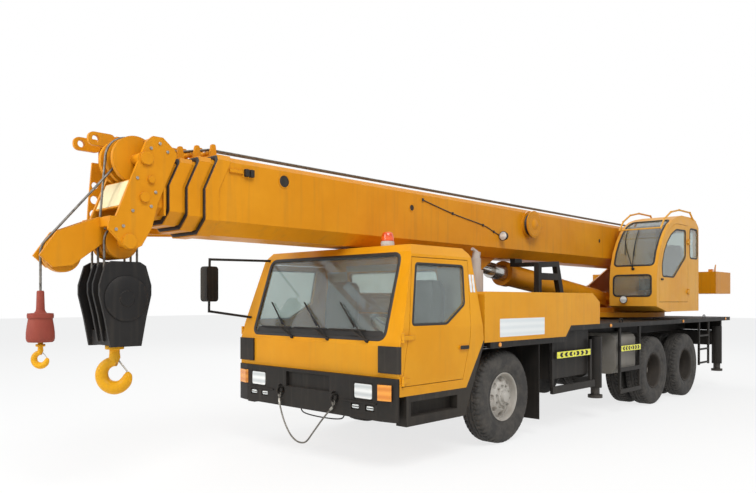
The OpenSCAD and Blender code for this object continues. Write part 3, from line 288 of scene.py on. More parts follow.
def sprayed_paint(name, colour, faded, dust, gloss, chip="#4B3A2C", wear=0.5, streak=0.3, low_dust=0.35):
    """Paint on steel. colour and faded lie in patches of 700 mm, streaks are 60 mm wide and near a metre long, dust
    gathers below about a metre, and chips of 25 mm show on edges. gloss is the mean roughness."""
    material, tree, place, shader = start(name)
    tone = mixed(tree, ramp(tree, noise(tree, place, 700, 4.0, Roughness=0.6), {1: 0.35, 2: 0.7}), colour,
                 faded)
    drawn = add(tree, "ShaderNodeMapping", {"Scale": (per_metre(60), per_metre(60), per_metre(900))},
                {0: place})
    runs = add(tree, "ShaderNodeTexNoise", {"Scale": 1.0, "Detail": 3.0}, {0: drawn.outputs[0]})
    streaked = mixed(tree, ramp(tree, runs.outputs[0], {1: 0.52, 2: 0.8, 4: streak}), tone, dust)
    height = add(tree, "ShaderNodeSeparateXYZ", links={0: place}).outputs[2]
    cloudy = noise(tree, place, 180, 5.0)
    dusted = mixed(tree, times(tree, ramp(tree, height, {1: 1.5, 2: 0.3, 4: low_dust}), cloudy), streaked, dust)
    round_edge = add(tree, "ShaderNodeBevel", {"samples": 4, "Radius": EDGE_ROUND}).outputs[0]
    true_face = add(tree, "ShaderNodeNewGeometry").outputs["True Normal"]
    turn = add(tree, "ShaderNodeVectorMath", {"operation": "DOT_PRODUCT"}, {0: round_edge, 1: true_face})
    edge = ramp(tree, turn.outputs["Value"], {1: 0.97, 2: 0.8, 4: wear})
    nicked = ramp(tree, noise(tree, place, 25, 4.0), {1: 0.5, 2: 0.6})
    shader.inputs["Specular IOR Level"].default_value = PAINT_SPECULAR
    dress(tree, shader, {
        "Base Color": mixed(tree, times(tree, edge, nicked), dusted, chip),
        "Roughness": ramp(tree, cloudy, {3: gloss - 0.08, 4: gloss + 0.14}),
        "Normal": bumped(tree, noise(tree, place, 14, 2.0), 0.06, 0.003, round_edge)})
    return material


# One yellow in four copies whose tones are painted light and shade: the boom darkest, the cab and covers between, the
# operator cab lightest.
boom_shaded_enamel = sprayed_paint("sprayed enamel on boom plate, darkened as painted shade", "#CF8409", "#DA9118", "#8F6A32", 0.38, streak=0.26)
cab_shaded_enamel = sprayed_paint("sprayed enamel on pressed cab panels", "#DA920E", "#E39E1C", "#A07A3C", 0.3,
                           wear=0.3, streak=0.14)
cover_light_and_shade_enamel = sprayed_paint("sprayed enamel on sheet covers", "#DB9414", "#E3A026", "#A07A3C", 0.34, wear=0.35,
                             streak=0.18)
upper_lit_enamel = sprayed_paint("sprayed enamel on operator cab, lightened as painted light", "#DE9A28", "#E5A840", "#A88348", 0.36, wear=0.3,
                             streak=0.18)
chassis_black = sprayed_paint("dusty chassis black", "#1A1918", "#232120", "#4E473E", 0.5, chip="#5A4636",
                              low_dust=0.4)
trim_black = sprayed_paint("weathered black trim", "#242221", "#38342F", "#5E564C", 0.58, chip="#57504A",
                           wear=0.25, low_dust=0.3)
block_black = sprayed_paint("hook block black", "#1F1E1E", "#2A2827", "#4A443C", 0.45, chip="#7A6A58", wear=0.6)
hook_enamel = sprayed_paint("forged hook enamel", "#DB9A0E", "#E2A51E", "#8A6A30", 0.36, chip="#54422E",
                            wear=0.7)
ball_paint = sprayed_paint("faded red primer", "#86382F", "#96503F", "#6A4238", 0.6, chip="#5C5450", wear=0.6)
tank_grey = sprayed_paint("grey tank paint", "#77736C", "#8E8A84", "#9A8F7E", 0.5)
stack_grey = sprayed_paint("heat-dulled aluminium paint", "#B4ACA5", "#C8C1B9", "#8C7F70", 0.5, wear=0.3)
cream_paint = sprayed_paint("faded cream paint", "#E0CE98", "#E8DAB4", "#A8906A", 0.5)
rim_paint = sprayed_paint("dusty silver rim paint", "#C2BEB7", "#A8A39A", "#7D6F60", 0.5, low_dust=0.45,
                          chip="#6A4A34", wear=0.7)
dish_paint = sprayed_paint("brake-dusted dish paint", "#34312E", "#46413C", "#5A5046", 0.6, low_dust=0.3)
print("paints:", len(bpy.data.materials))

# %% [markdown]
# Tyre rubber is carbon black, matt, with grey road dust in the grooves and on the walls. Moulded vinyl on the seats
# has a grain of about a millimetre, drawn here at 4 mm so that it shows.

# %% Rubber, vinyl and plastics
def moulded(name, colour, dust, roughness, grain_mm, depth, dusting):
    """A moulded rubber or plastic: one colour with dust in patches of 120 mm and a bumpy grain."""
    material, tree, place, shader = start(name)
    patches = noise(tree, place, 120, 6.0, Roughness=0.65)
    grain = add(tree, "ShaderNodeTexVoronoi", {"Scale": per_metre(grain_mm)}, {0: place}).outputs[0]
    dress(tree, shader, {
        "Base Color": mixed(tree, ramp(tree, patches, {1: 0.4, 2: 0.75, 4: dusting}), colour, dust),
        "Roughness": ramp(tree, patches, {3: roughness - 0.1, 4: roughness + 0.1}),
        "Normal": bumped(tree, grain, depth, 0.002)})
    return material


tyre_rubber = moulded("tyre rubber", "#343230", "#6A645C", 0.82, 9, 0.15, 0.55)
seal_rubber = moulded("window seal rubber", "#1D1C1B", "#3A3733", 0.6, 6, 0.1, 0.4)
seat_vinyl = moulded("seat vinyl", "#2C2A28", "#4B4641", 0.5, 4, 0.35, 0.3)
dash_plastic = moulded("moulded dash plastic", "#3B3935", "#5A554E", 0.55, 4, 0.25, 0.35)
hose_rubber = moulded("hose rubber", "#232221", "#4C4741", 0.55, 5, 0.1, 0.4)

# %% [markdown]
# Bare metals: wire rope is drawn steel with a film of grease, the jack legs and the lift rod are hard chrome, and
# the running gear is cast steel with rust in its pores.

# %% Bare metals
def bare_metal(name, colour, stain, low, high, patch_mm, bump_mm, depth):
    """A metal whose roughness runs from low to high in patches, with a stain in the dull ones."""
    material, tree, place, shader = start(name)
    shader.inputs["Metallic"].default_value = 0.85
    patches = noise(tree, place, patch_mm, 5.0)
    dress(tree, shader, {
        "Base Color": mixed(tree, ramp(tree, patches, {1: 0.45, 2: 0.75}), colour, stain),
        "Roughness": ramp(tree, patches, {3: low, 4: high}),
        "Normal": bumped(tree, noise(tree, place, bump_mm, 3.0), depth, 0.002)})
    return material


wire_steel = bare_metal("greased wire rope", "#7C7871", "#4A4540", 0.4, 0.65, 30, 8, 0.4)
hard_chrome = bare_metal("hard chrome rod", "#C6C6C3", "#A9A49B", 0.12, 0.3, 200, 10, 0.05)
cast_steel = bare_metal("rusty cast steel", "#3F3B38", "#5A4536", 0.5, 0.8, 60, 6, 0.5)
bolt_zinc = bare_metal("zinc plated bolts", "#A7A49C", "#7C766C", 0.3, 0.55, 20, 5, 0.3)

# %% Jack legs
def jack_finish(name, foot_top):
    """Hard chrome on the leg, and chassis black on the foot below foot_top, split by height."""
    material, tree, place, shader = start(name)
    height = add(tree, "ShaderNodeSeparateXYZ", links={0: place}).outputs[2]
    leg = ramp(tree, height, {1: foot_top, 2: foot_top + 0.004})
    foot = mixed(tree, noise(tree, place, 40, 4.0), "#1C1B1A", "#4A4138")
    shine = add(tree, "ShaderNodeMath", {"operation": "MULTIPLY", 1: 0.9}, {0: leg})
    dress(tree, shader, {
        "Base Color": mixed(tree, leg, foot, "#C6C6C3"),
        "Roughness": ramp(tree, leg, {3: 0.55, 4: 0.2}),
        "Metallic": shine.outputs[0]})
    return material


jack_chrome = jack_finish("chrome jack leg on a black foot", 0.44)

# %% [markdown]
# Window glass is clear with a grey-green tint, and it lets the lamps through so that the seats behind it are lit:
# for a shadow ray the shader is swapped for a clear one. A pale diffuse film over the glass is a painted reflection of
# the sky. Lamp lenses are moulded acrylic with fluting.

# %% Glass and lenses
def clear_sheet(name, colour, roughness, ior, flute_mm=0.0, painted_reflection_share=0.0):
    """A see-through sheet, with flutes that cross the x and y ways where a size is given for them. A pale diffuse
    film, a painted reflection of the sky, hides a share of it in clouds of 160 mm."""
    material, tree, place, shader = start(name)
    shader.inputs["Base Color"].default_value = linear(colour)
    shader.inputs["Transmission Weight"].default_value = 1.0
    shader.inputs["IOR"].default_value = ior
    # Clouds for the roughness and for the share of the painted reflection.
    smear_and_reflection_clouds = noise(tree, place, 160, 5.0)
    dress(tree, shader, {"Roughness": ramp(tree, smear_and_reflection_clouds, {1: 0.4, 2: 0.8, 3: roughness, 4: roughness + 0.06})})
    if flute_mm:
        flutes = {"bands_direction": "DIAGONAL", "Scale": per_metre(flute_mm) / 20}
        wave = add(tree, "ShaderNodeTexWave", flutes, {0: place})
        dress(tree, shader, {"Normal": bumped(tree, wave.outputs[1], 0.4, 0.004)})
    clear = add(tree, "ShaderNodeBsdfTransparent", {0: linear(colour)})
    seen = shader.outputs[0]
    if painted_reflection_share:
        # A pale diffuse layer over the glass: painted reflection of the sky.
        dust = add(tree, "ShaderNodeBsdfDiffuse", {0: linear("#CDD5D5")})
        share = ramp(tree, smear_and_reflection_clouds, {1: 0.3, 2: 0.75, 3: painted_reflection_share * 0.75, 4: painted_reflection_share * 1.25})
        seen = add(tree, "ShaderNodeMixShader", links={0: share, 1: seen, 2: dust.outputs[0]}).outputs[0]
    path = add(tree, "ShaderNodeLightPath")
    both = add(tree, "ShaderNodeMixShader", links={0: path.outputs["Is Shadow Ray"], 1: seen,
                                                   2: clear.outputs[0]})
    tree.links.new(both.outputs[0], tree.nodes["Material Output"].inputs["Surface"])
    return material


# The pale film on these panes is a painted reflection of the sky.
window_glass = clear_sheet("tinted window glass", "#CBD6D2", 0.02, 1.5, painted_reflection_share=0.11)
lamp_lens = clear_sheet("fluted lamp lens", "#F4F3EE", 0.05, 1.49, 12)


def lens_plastic(name, colour, deep):
    """Coloured acrylic: a glossy lens whose colour deepens in bands of the flutes."""
    material, tree, place, shader = start(name)
    wave = add(tree, "ShaderNodeTexWave", {"bands_direction": "Z", "Scale": per_metre(12) / 20},
               {0: place}).outputs[1]
    dress(tree, shader, {"Base Color": mixed(tree, wave, colour, deep),
                         "Normal": bumped(tree, wave, 0.3, 0.003)})
    shader.inputs["Roughness"].default_value = 0.15
    shader.inputs["Coat Weight"].default_value = 0.4
    return material


amber_lens = lens_plastic("amber acrylic", "#EC9C32", "#D67E1A")
beacon_lens = lens_plastic("orange acrylic", "#EE5E22", "#CF4410")
red_lens = lens_plastic("red acrylic", "#B3201A", "#8C120F")
white_film = lens_plastic("white vinyl film", "#E9ECEC", "#DDE2E3")
sign_yellow = lens_plastic("reflective yellow film", "#F2EE1E", "#E5DE12")
print("finishes:", len(bpy.data.materials))

# %% [markdown]
# Each solid takes the finish of the real piece. The list is by finish, because the same paint was on the same gun; the
# four yellow enamels are copies of one paint whose tones are painted light and shade.

# %% Finishes of the solids
painted = {
    boom_shaded_enamel: ["boom_base", "fly_jib", "tele_2", "tele_3", "boom_head", "turntable_frame", "counterweight",
                  "lift_barrel"],
    cab_shaded_enamel: ["cab_shell", "door_left", "door_right"],
    cover_light_and_shade_enamel: ["engine_hood"],
    upper_lit_enamel: ["op_cab_shell", "op_door"],
    chassis_black: ["chassis_frame", "deck", "outrigger_boxes", "bumper", "side_guards", "boom_rest",
                    "front_axle",
                    "rear_bogie", "beam_front_left", "beam_front_right", "beam_rear_left", "beam_rear_right"],
    trim_black: ["cab_trim"],
    cast_steel: ["knuckle_left", "knuckle_right", "slewing_ring", "winches", "engine_block"],
    hard_chrome: ["lift_rod"],
    jack_chrome: ["jack_front_left", "jack_front_right", "jack_rear_left", "jack_rear_right"],
    window_glass: ["cab_glass", "door_left_glass", "door_right_glass", "op_cab_glass", "op_door_glass"],
    dash_plastic: ["cab_interior", "op_cab_interior"],
    lamp_lens: ["lamps"],
    tank_grey: ["tanks"],
    stack_grey: ["exhaust_stack"],
    block_black: ["hook_block"],
    hook_enamel: ["main_hook"],
    ball_paint: ["aux_hook"],
    wire_steel: ["main_falls", "aux_falls", "tow_sling"],
    hose_rubber: ["air_hose"],
    tyre_rubber: [name for name in nodes if name.startswith("wheel_")],
}
for finish, names in painted.items():
    for name in names:
        mesh = nodes[name].data
        mesh.materials.clear()
        mesh.materials.append(finish)
print("painted solids:", sum(len(names) for names in painted.values()), "of", len(nodes))

# %% [markdown]
# Two cords hang below the bumper: a wire rope sling from one tow eye to the other, and a short air hose. Wire rope is
# six strands laid round each other. A round section whose radius dips between the strands, and turns as it goes along,
# gives the lay without modelling a single wire. The lay is drawn at 120 mm, near the real one of a hoist rope.

# %% Cords under the bumper
ROPE_RADIUS = 0.010
ROPE_LAY = 0.12


def wire_rope(path, radius=ROPE_RADIUS, spacing=0.012, level=(0.0, 1.0, 0.0)):
    """radius(a, s) = r * (0.84 + 0.16 * |cos(3 * (a + 2 pi s / lay))|) carried along the path, s being the length. The
    zero angle points along level, made square to the path."""
    path = np.asarray(path, float)
    steps = np.cumsum(np.r_[0, np.linalg.norm(np.diff(path, axis=0), axis=1)])
    s = np.linspace(0, steps[-1], max(3, int(steps[-1] / spacing)))
    path = np.stack([np.interp(s, steps, path[:, k]) for k in range(3)], -1)
    along = np.gradient(path, axis=0)
    along /= np.linalg.norm(along, axis=1, keepdims=True)
    first = np.tile(level, (len(s), 1))
    first -= (first * along).sum(1, keepdims=True) * along
    first /= np.linalg.norm(first, axis=1, keepdims=True)
    second = np.cross(along, first)
    a = np.linspace(0, 2 * np.pi, 18, endpoint=False)[None, :]
    reach = radius * (0.84 + 0.16 * np.abs(np.cos(3 * (a + 2 * np.pi * s[:, None] / ROPE_LAY))))[..., None]
    return skin(path[:, None] + reach * (np.cos(a)[..., None] * first[:, None] + np.sin(a)[...,
            None] * second[:, None]))


def length_of(path):
    """The sum of the straight steps along a path."""
    return float(np.linalg.norm(np.diff(path, axis=0), axis=1).sum())


SLING_ROUTE = [(3.624, -0.430, 0.6047), (3.628, -0.426, 0.5547), (3.642, -0.385, 0.455), (3.650, -0.310, 0.320),
               (3.652, -0.215, 0.205),
               (3.652, -0.125, 0.150), (3.652, -0.040, 0.136), (3.652, 0.050, 0.160), (3.650, 0.150, 0.262),
               (3.644, 0.270, 0.395),
               (3.634, 0.375, 0.505), (3.628, 0.426, 0.5547), (3.624, 0.430, 0.6047)]
HOSE_BEND = 0.060
quarter = np.radians(np.arange(15, 76, 15))
half_route = np.vstack([[(-0.215, 0.4897), (-0.215, 0.485), (-0.215, 0.480)],
                        np.stack([HOSE_BEND - 0.215 - HOSE_BEND * np.cos(quarter),
                                  0.480 - HOSE_BEND * np.sin(quarter)], -1),
                        [(-0.135, 0.4145), (-0.085, 0.4085), (-0.025, 0.4045), (0.045, 0.4023)]])
hose_across = np.vstack([half_route, [(0.124, 0.4015)], half_route[::-1] * (-1, 1) + (0.248, 0)])
HOSE_ROUTE = [(3.5, y, z) for y, z in hose_across.tolist()]
sling_path = smooth_path(SLING_ROUTE, 37)
hose_path = smooth_path(HOSE_ROUTE, 3 * len(HOSE_ROUTE) - 2)
sling = piece("tow_sling_rope", wire_rope(sling_path, 0.009, level=(1.0, 0.0, 0.0)), wire_steel, "carrier",
              ["tow_sling"])
ferrules = piece("tow_sling_ferrules", [swept(sling_path[k:k + 3], (0.013, 0.015, 0.013), 14, (1, 0, 0))
                                        for k in (3, 31)],
                 bolt_zinc, "carrier")
ring_turn = np.linspace(0, 2 * np.pi, 25)
eyes = [swept(np.stack([np.full(25, 3.622), side * 0.43 + 0.021 * np.sin(ring_turn),
                        0.600 + 0.023 * np.cos(ring_turn)], -1),
              0.006, 10, (1, 0, 0)) for side in (-1, 1)]
sling_eyes = piece("tow_sling_eyes", eyes, wire_steel, "carrier")
hose = piece("air_hose_tube", swept(hose_path, 0.007, 14, (1, 0, 0)), hose_rubber, "carrier",
             ["air_hose"])
print("sling", round(length_of(sling_path), 3), "m, hose", round(length_of(hose_path), 3), "m")


# %% [markdown]
# A truck tyre is a turned form whose tread is cut by grooves. Modelling each block by hand would be slow, so the tread
# is worked out on the grid itself: a point on the crown is lowered where its angle and its place across the tread
# fall in a groove. The bead is closed across the rim, so the mesh is one shell.

# %% Tyres
TYRE_WIDTH = 0.285
BEAD_RADIUS = 0.270
LUGS = 52
TREAD_DEPTH = 0.013
# share of the wall height above the bead, share of the half width
WALL = np.array([[-0.02, 0.74], [0.10, 0.82], [0.35, 0.97], [0.55, 1], [0.78, 0.96], [0.90, 0.86], [0.97, 0.74],
                 [1, 0.55], [1, 0.2]])


def tyre(x, y, z, radius):
    """radius(a, s) = bead + height(s) * wall - depth * groove(a, s), turned about the axle; s runs from bead to bead.
    A groove is where the angle, counted in lugs and skewed across the tread, falls in the first third of a lug, or
    where the place across the tread lies on one of two zigzag lines."""
    outline = np.vstack([WALL * (1, -1), WALL[::-1]])
    steps = np.cumsum(np.r_[0, np.linalg.norm(np.diff(outline, axis=0), axis=1)])
    s = np.linspace(0, steps[-1], 76)
    height, across_tyre = np.interp(s, steps, outline[:, 0]), np.interp(s, steps, outline[:, 1])
    a = np.linspace(0, 2 * np.pi, LUGS * 6, endpoint=False)[:, None]
    lug = a * LUGS / (2 * np.pi)
    zigzag = 0.05 * np.abs((lug * 0.5) % 1 - 0.5)
    rings = np.abs(np.abs(across_tyre) - 0.20 - zigzag) < 0.035
    slots = (((lug + 0.5 * (across_tyre > 0) + 0.3 * np.abs(across_tyre)) % 1) < 0.34) & (np.abs(across_tyre) > 0.42)
    crown = np.clip((height - 0.84) / 0.1, 0, 1)
    ribs = 0.003 * (np.abs(height - 0.30) < 0.03) + 0.003 * (np.abs(height - 0.66) < 0.04)
    ribs = ribs + 0.004 * (np.abs(height - 0.08) < 0.04)
    reach = BEAD_RADIUS + height * (radius - BEAD_RADIUS) - TREAD_DEPTH * crown * (rings | slots)
    side = y + np.sign(across_tyre) * (np.abs(across_tyre) * TYRE_WIDTH / 2 + ribs - 0.004)
    points = np.stack(np.broadcast_arrays(x + reach * np.cos(a), side, z + reach * np.sin(a)), -1)
    return skin(points, round_rows=True)


WHEELS = [name for name in nodes if name.startswith("wheel_")]
wheel_places = {}
for name in WHEELS:
    low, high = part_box(name)
    side = 1 if low.y > 0 else -1
    inner, outer = sorted((abs(low.y), abs(high.y)))
    first = inner + TYRE_WIDTH / 2
    rows = [first] if "front" in name else [first, outer - TYRE_WIDTH / 2]
    wheel_places[name] = ((low.x + high.x) / 2, side, rows, (low.z + high.z) / 2)
    x, side, rows, z = wheel_places[name]
    piece(name.replace("wheel", "tyre"), [tyre(x, side * row, z, z) for row in rows], tyre_rubber, name,
          [name])

# %% [markdown]
# The rims are pressed and turned steel. A front disc bulges outward and has eight hand holes; a rear disc lies deep
# between its two tyres, with the hub of the axle in front of it. The hand holes are pressed into the turned grid: a
# point within a hole's radius is moved back, so the hole is a real hollow.

# %% Rims, hubs and nuts
HAND_HOLES, HOLE_RING, HOLE_RADIUS = 8, 0.190, 0.027
FRONT_RIM = [(-0.111, 0.0), (-0.111, 0.244), (-0.105, 0.262), (0.100, 0.262), (0.112, 0.276), (0.116, 0.272),
             (0.113, 0.262),
             (0.090, 0.254), (0.045, 0.246), (0.038, 0.236), (0.050, 0.222), (0.090, 0.155), (0.095, 0.146),
             (0.095, 0.108),
             (0.099, 0.103), (0.114, 0.099), (0.116, 0.090), (0.118, 0.068), (0.146, 0.060), (0.149, 0.054),
             (0.149, 0.0)]
REAR_RIM = [(-0.111, 0.0), (-0.111, 0.244), (-0.105, 0.262), (0.100, 0.262), (0.112, 0.276), (0.116, 0.272),
            (0.113, 0.262),
            (0.098, 0.252), (-0.090, 0.244), (-0.140, 0.236), (-0.146, 0.226), (-0.146, 0.0)]
REAR_HUB = [(-0.146, 0.0), (-0.146, 0.114), (-0.066, 0.112), (-0.060, 0.106), (-0.056, 0.090), (-0.020, 0.084),
            (-0.014, 0.074), (-0.012, 0.0)]


def rim(profile, x, y, z, side, holes):
    """A turned profile, read at even steps, pressed back by depth * (1 - (d / r)^4) within r of a hole's centre, where d
    is the distance on the disc."""
    profile = np.asarray(profile)
    steps = np.cumsum(np.r_[0, np.linalg.norm(np.diff(profile, axis=0), axis=1)])
    s = np.unique(np.r_[np.linspace(0, steps[-1], 90), steps])
    out, reach = np.interp(s, steps, profile[:, 0]), np.interp(s, steps, profile[:, 1])
    a = np.linspace(0, 2 * np.pi, 192, endpoint=False)[:, None]
    turn = (a + np.pi / HAND_HOLES) % (2 * np.pi / HAND_HOLES) - np.pi / HAND_HOLES
    d = np.hypot(reach * np.cos(turn) - HOLE_RING, 0.75 * reach * np.sin(turn)) / HOLE_RADIUS
    front = (np.arange(len(s)) > len(s) * 0.55) & holes
    out = out - 0.05 * front * np.clip(1 - d ** 4, 0, 1) ** 0.5
    points = np.stack(np.broadcast_arrays(x + reach * np.cos(a), y + side * out, z + reach * np.sin(a)), -1)
    return skin(points, round_rows=True, round_columns=False)


def nut_ring(x, y, z, side, ring, count, size):
    """Hexagon nuts on studs, count of them on a circle about the axle."""
    a = np.arange(count) * 2 * np.pi / count + 0.2
    stud = [(0, 0), (0, size), (0.9 * size, size), (1.1 * size, 0.85 * size), (1.1 * size, 0.5 * size),
            (1.9 * size, 0.5 * size),
            (2.0 * size, 0.35 * size), (2.0 * size, 0)]
    return [turned(stud, (x + ring * c, y, z + ring * s), (0, side, 0), 6)
            for c, s in zip(np.cos(a), np.sin(a))]


for name, (x, side, rows, z) in wheel_places.items():
    front = "front" in name
    y = side * rows[-1]
    parts = [rim(FRONT_RIM if front else REAR_RIM, x, y, z, side, front)]
    if not front:
        parts.append(rim(FRONT_RIM, x, side * rows[0], z, -side, True))
    piece(name.replace("wheel", "rim"), parts, rim_paint if front else dish_paint, name, [name],
          sharp=28)
    if not front:
        piece(name.replace("wheel", "hub"), turned(REAR_HUB, (x, y, z), (0, side, 0), 64), rim_paint, name,
              [name])
    face = y + side * (0.095 if front else -0.147)
    nuts = nut_ring(x, face, z, side, 0.1275, 10, 0.013) if front else nut_ring(x, face, z, side, 0.165, 10,
            0.014)
    caps = nut_ring(x, y + side * (0.114 if front else -0.060), z, side, 0.079 if front else 0.094, 8, 0.006)
    piece(name.replace("wheel", "nuts"), nuts + caps, bolt_zinc, name)

# %% [markdown]
# The hoist rope runs in six falls between the boom head and the hook block. The falls are fixed in place between
# the two and ride on neither, and the bends over the sheaves ride with the head and with the block.

# %% Rope falls
def arc(x, y, z, radius, start_degrees, end_degrees, count=24):
    """Points on a circle in the crane's length plane, from one angle to another; 0 is forward and 90 is up."""
    a = np.radians(np.linspace(start_degrees, end_degrees, count))
    return np.stack([x + radius * np.cos(a), np.full(count, y), z + radius * np.sin(a)], -1)


fall_low, fall_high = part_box("main_falls")
FALL_ROWS = (-0.110, 0.0, 0.110)
fall_x = (fall_low.x + fall_high.x) / 2
fall_half = (fall_high.x - fall_low.x) / 2 - ROPE_RADIUS
falls = [wire_rope([(fall_x + s * fall_half, y, fall_high.z), (fall_x + s * fall_half, y, fall_low.z)])
         for y in FALL_ROWS for s in (-1, 1)]
main_falls = piece("main_rope_falls", falls, wire_steel, None, ["main_falls"])
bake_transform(main_falls)
piece("main_rope_over_head", [wire_rope(arc(fall_x, y, fall_high.z, fall_half, 0, 180)) for y in FALL_ROWS],
      wire_steel,
      "boom_head")
piece("main_rope_under_block", [wire_rope(arc(fall_x, y, fall_low.z, fall_half, 180, 360)) for y in FALL_ROWS],
      wire_steel,
      "hook_block")
aux_low, aux_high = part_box("aux_falls")
aux_x = (aux_low.x + aux_high.x) / 2
aux_fall = piece("aux_rope_fall", wire_rope([(aux_x, 0, aux_high.z), (aux_x, 0, aux_low.z)]), wire_steel, None,
                 ["aux_falls"])
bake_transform(aux_fall)

# %% [markdown]
# Each pane sits in a black rubber seal. A seal is an oval bead that runs round the opening and comes back to where it
# started, so it is carried round a closed path and needs no ends. The corners are rounded first, as the openings are.

# %% Window seals
def rounded_outline(corners, radius, steps=7):
    """Each corner c becomes the curve (1-t)^2 a + 2t(1-t) c + t^2 b, where a and b lie radius away on its two edges."""
    c = np.asarray(corners, float)
    back, ahead = np.roll(c, 1, 0) - c, np.roll(c, -1, 0) - c
    a = c + radius * back / np.linalg.norm(back, axis=1, keepdims=True)
    b = c + radius * ahead / np.linalg.norm(ahead, axis=1, keepdims=True)
    t = np.linspace(0, 1, steps)[None, :, None]
    return ((1 - t) ** 2 * a[:, None] + 2 * t * (1 - t) * c[:, None] + t ** 2 * b[:, None]).reshape(-1,
            c.shape[1])


def evenly(path, count):
    """A closed path read at count even steps of its length."""
    closed = np.vstack([path, path[:1]])
    steps = np.cumsum(np.r_[0, np.linalg.norm(np.diff(closed, axis=0), axis=1)])
    s = np.linspace(0, steps[-1], count, endpoint=False)
    return np.stack([np.interp(s, steps, closed[:, k]) for k in range(closed.shape[1])], -1)


def frame_seal(path, out, width=0.03, height=0.014):
    """An oval bead carried round a closed path: point = path + width/2 * cos a * flat + height/2 * sin a * out, where out
    stands off the pane and flat lies in it, across the path."""
    path = np.asarray(path, float)
    out = np.broadcast_to(np.asarray(out, float), (len(path), 3))
    flat = np.cross(np.roll(path, -1, 0) - np.roll(path, 1, 0), out)
    flat /= np.linalg.norm(flat, axis=1, keepdims=True)
    a = np.linspace(0, 2 * np.pi, 10, endpoint=False)[None, :, None]
    return skin(path[:, None] + width / 2 * np.cos(a) * flat[:, None] + height / 2 * np.sin(a) * out[:, None],
                round_rows=True)


def box_corners(low_u, high_u, low_v, high_v):
    """The four corners of a rectangle, in turn."""
    return [(low_u, low_v), (high_u, low_v), (high_u, high_v), (low_u, high_v)]


HALF_WIDTH = 1.25
DOOR_OUT = np.array([0, 0.9914, 0.1308])  # stands off the left door's leaning upper half
SCREEN_OUT = np.array([0.9548, 0, 0.2974])


def screen_x(z):
    """x of the windscreen's plane at a height."""
    return 3.540 - 0.285 * (z - 1.19) / 0.915


def rear_x(z):
    """x of the cab's rear wall at a height."""
    return 2.185 + 0.105 * (z - 1.2) / 0.92


screen = evenly(rounded_outline([(1.035, 1.25), (1.018, 2.085), (-1.018, 2.085), (-1.035, 1.25)], 0.085), 180)
screen = np.stack([screen_x(screen[:, 1]), screen[:, 0], screen[:, 1]], -1)
rear = evenly(rounded_outline(box_corners(-0.70, 0.70, 1.48, 1.96), 0.07), 120)
rear = np.stack([rear_x(rear[:, 1]), rear[:, 0], rear[:, 1]], -1)
piece("cab_window_seals", [frame_seal(screen, SCREEN_OUT, 0.04, 0.016), frame_seal(rear, (-0.9936, 0, 0.1134))],
      seal_rubber, "carrier")
DOOR_PANE = [(3.35, 1.392), (3.21, 1.985), (2.455, 1.985), (2.495, 1.585), (2.825, 1.392)]
for name, side in (("left", 1), ("right", -1)):
    pane = evenly(rounded_outline(DOOR_PANE, 0.03), 150)
    pane = np.stack([pane[:, 0], side * (HALF_WIDTH - 0.095 * (pane[:, 1] - 1.36) / 0.72), pane[:, 1]], -1)
    piece(f"door_{name}_seal", frame_seal(pane, DOOR_OUT * (1, side, 1), 0.026, 0.012), seal_rubber,
          f"door_{name}")
NOSE_Z = np.array([1.44, 1.95, 2.18, 2.40, 2.59, 2.74, 2.87, 2.965, 3.03])
NOSE_X = np.array([-2.585, -2.585, -2.62, -2.70, -2.82, -2.95, -3.11, -3.32, -3.55])


def on_nose(outline):
    """An outline in y and z laid on the operator cab's curved nose, and the direction that stands off it there:
    x follows the nose at that height, and the direction is (1, 0, -dx/dz) at unit length."""
    x = np.interp(outline[:, 1], NOSE_Z, NOSE_X)
    slope = np.interp(outline[:, 1], NOSE_Z, np.gradient(NOSE_X, NOSE_Z))
    out = np.stack([np.ones_like(slope), np.zeros_like(slope), -slope], -1)
    return np.stack([x, outline[:, 0], outline[:, 1]], -1), out / np.linalg.norm(out, axis=1, keepdims=True)


OP_INNER, OP_OUTER = 0.43, 1.21
upper_screen = evenly(rounded_outline(box_corners(OP_INNER + 0.065, OP_OUTER - 0.065, 2.185, 2.96), 0.06), 140)
lower_screen = evenly(rounded_outline(box_corners(OP_INNER + 0.07, OP_OUTER - 0.09, 1.69, 2.03), 0.07), 100)
side_pane = evenly(rounded_outline(box_corners(-4.39, -4.02, 2.35, 2.86), 0.07), 90)
back_pane = evenly(rounded_outline(box_corners(OP_INNER + 0.09, OP_OUTER - 0.09, 2.20, 2.85), 0.06), 100)
piece("operator_cab_seals", [
    frame_seal(*on_nose(upper_screen), 0.03, 0.014), frame_seal(*on_nose(lower_screen), 0.028, 0.014),
    frame_seal(np.stack([side_pane[:, 0], np.full(90, OP_OUTER), side_pane[:, 1]], -1), (0, 1, 0), 0.026,
               0.012),
    frame_seal(np.stack([np.full(100, -4.45), back_pane[:, 0], back_pane[:, 1]], -1), (-1, 0, 0), 0.026,
               0.012)],
    seal_rubber, "superstructure")
OP_DOOR_PANE = [(-2.82, 2.01), (-2.80, 2.19), (-2.885, 2.40), (-3.005, 2.56), (-3.175, 2.70), (-3.405, 2.80),
                (-3.825, 2.81),
                (-3.82, 2.36), (-3.29, 2.005)]
op_pane = evenly(rounded_outline(OP_DOOR_PANE, 0.05), 170)
piece("operator_door_seal", frame_seal(np.stack([op_pane[:, 0], np.full(170, OP_OUTER), op_pane[:, 1]], -1),
                                       (0, 1, 0), 0.026, 0.012),
      seal_rubber, "op_door")

# %% [markdown]
# The lamps are moulded lenses in black housings. A clear lens over a bright reflector reads as white, so it gets the
# look of its reflector; the amber and red ones are coloured acrylic.

# %% Lamps
bright_lens = lens_plastic("clear lens over a bright reflector", "#EDEFEC", "#C6CBCB")


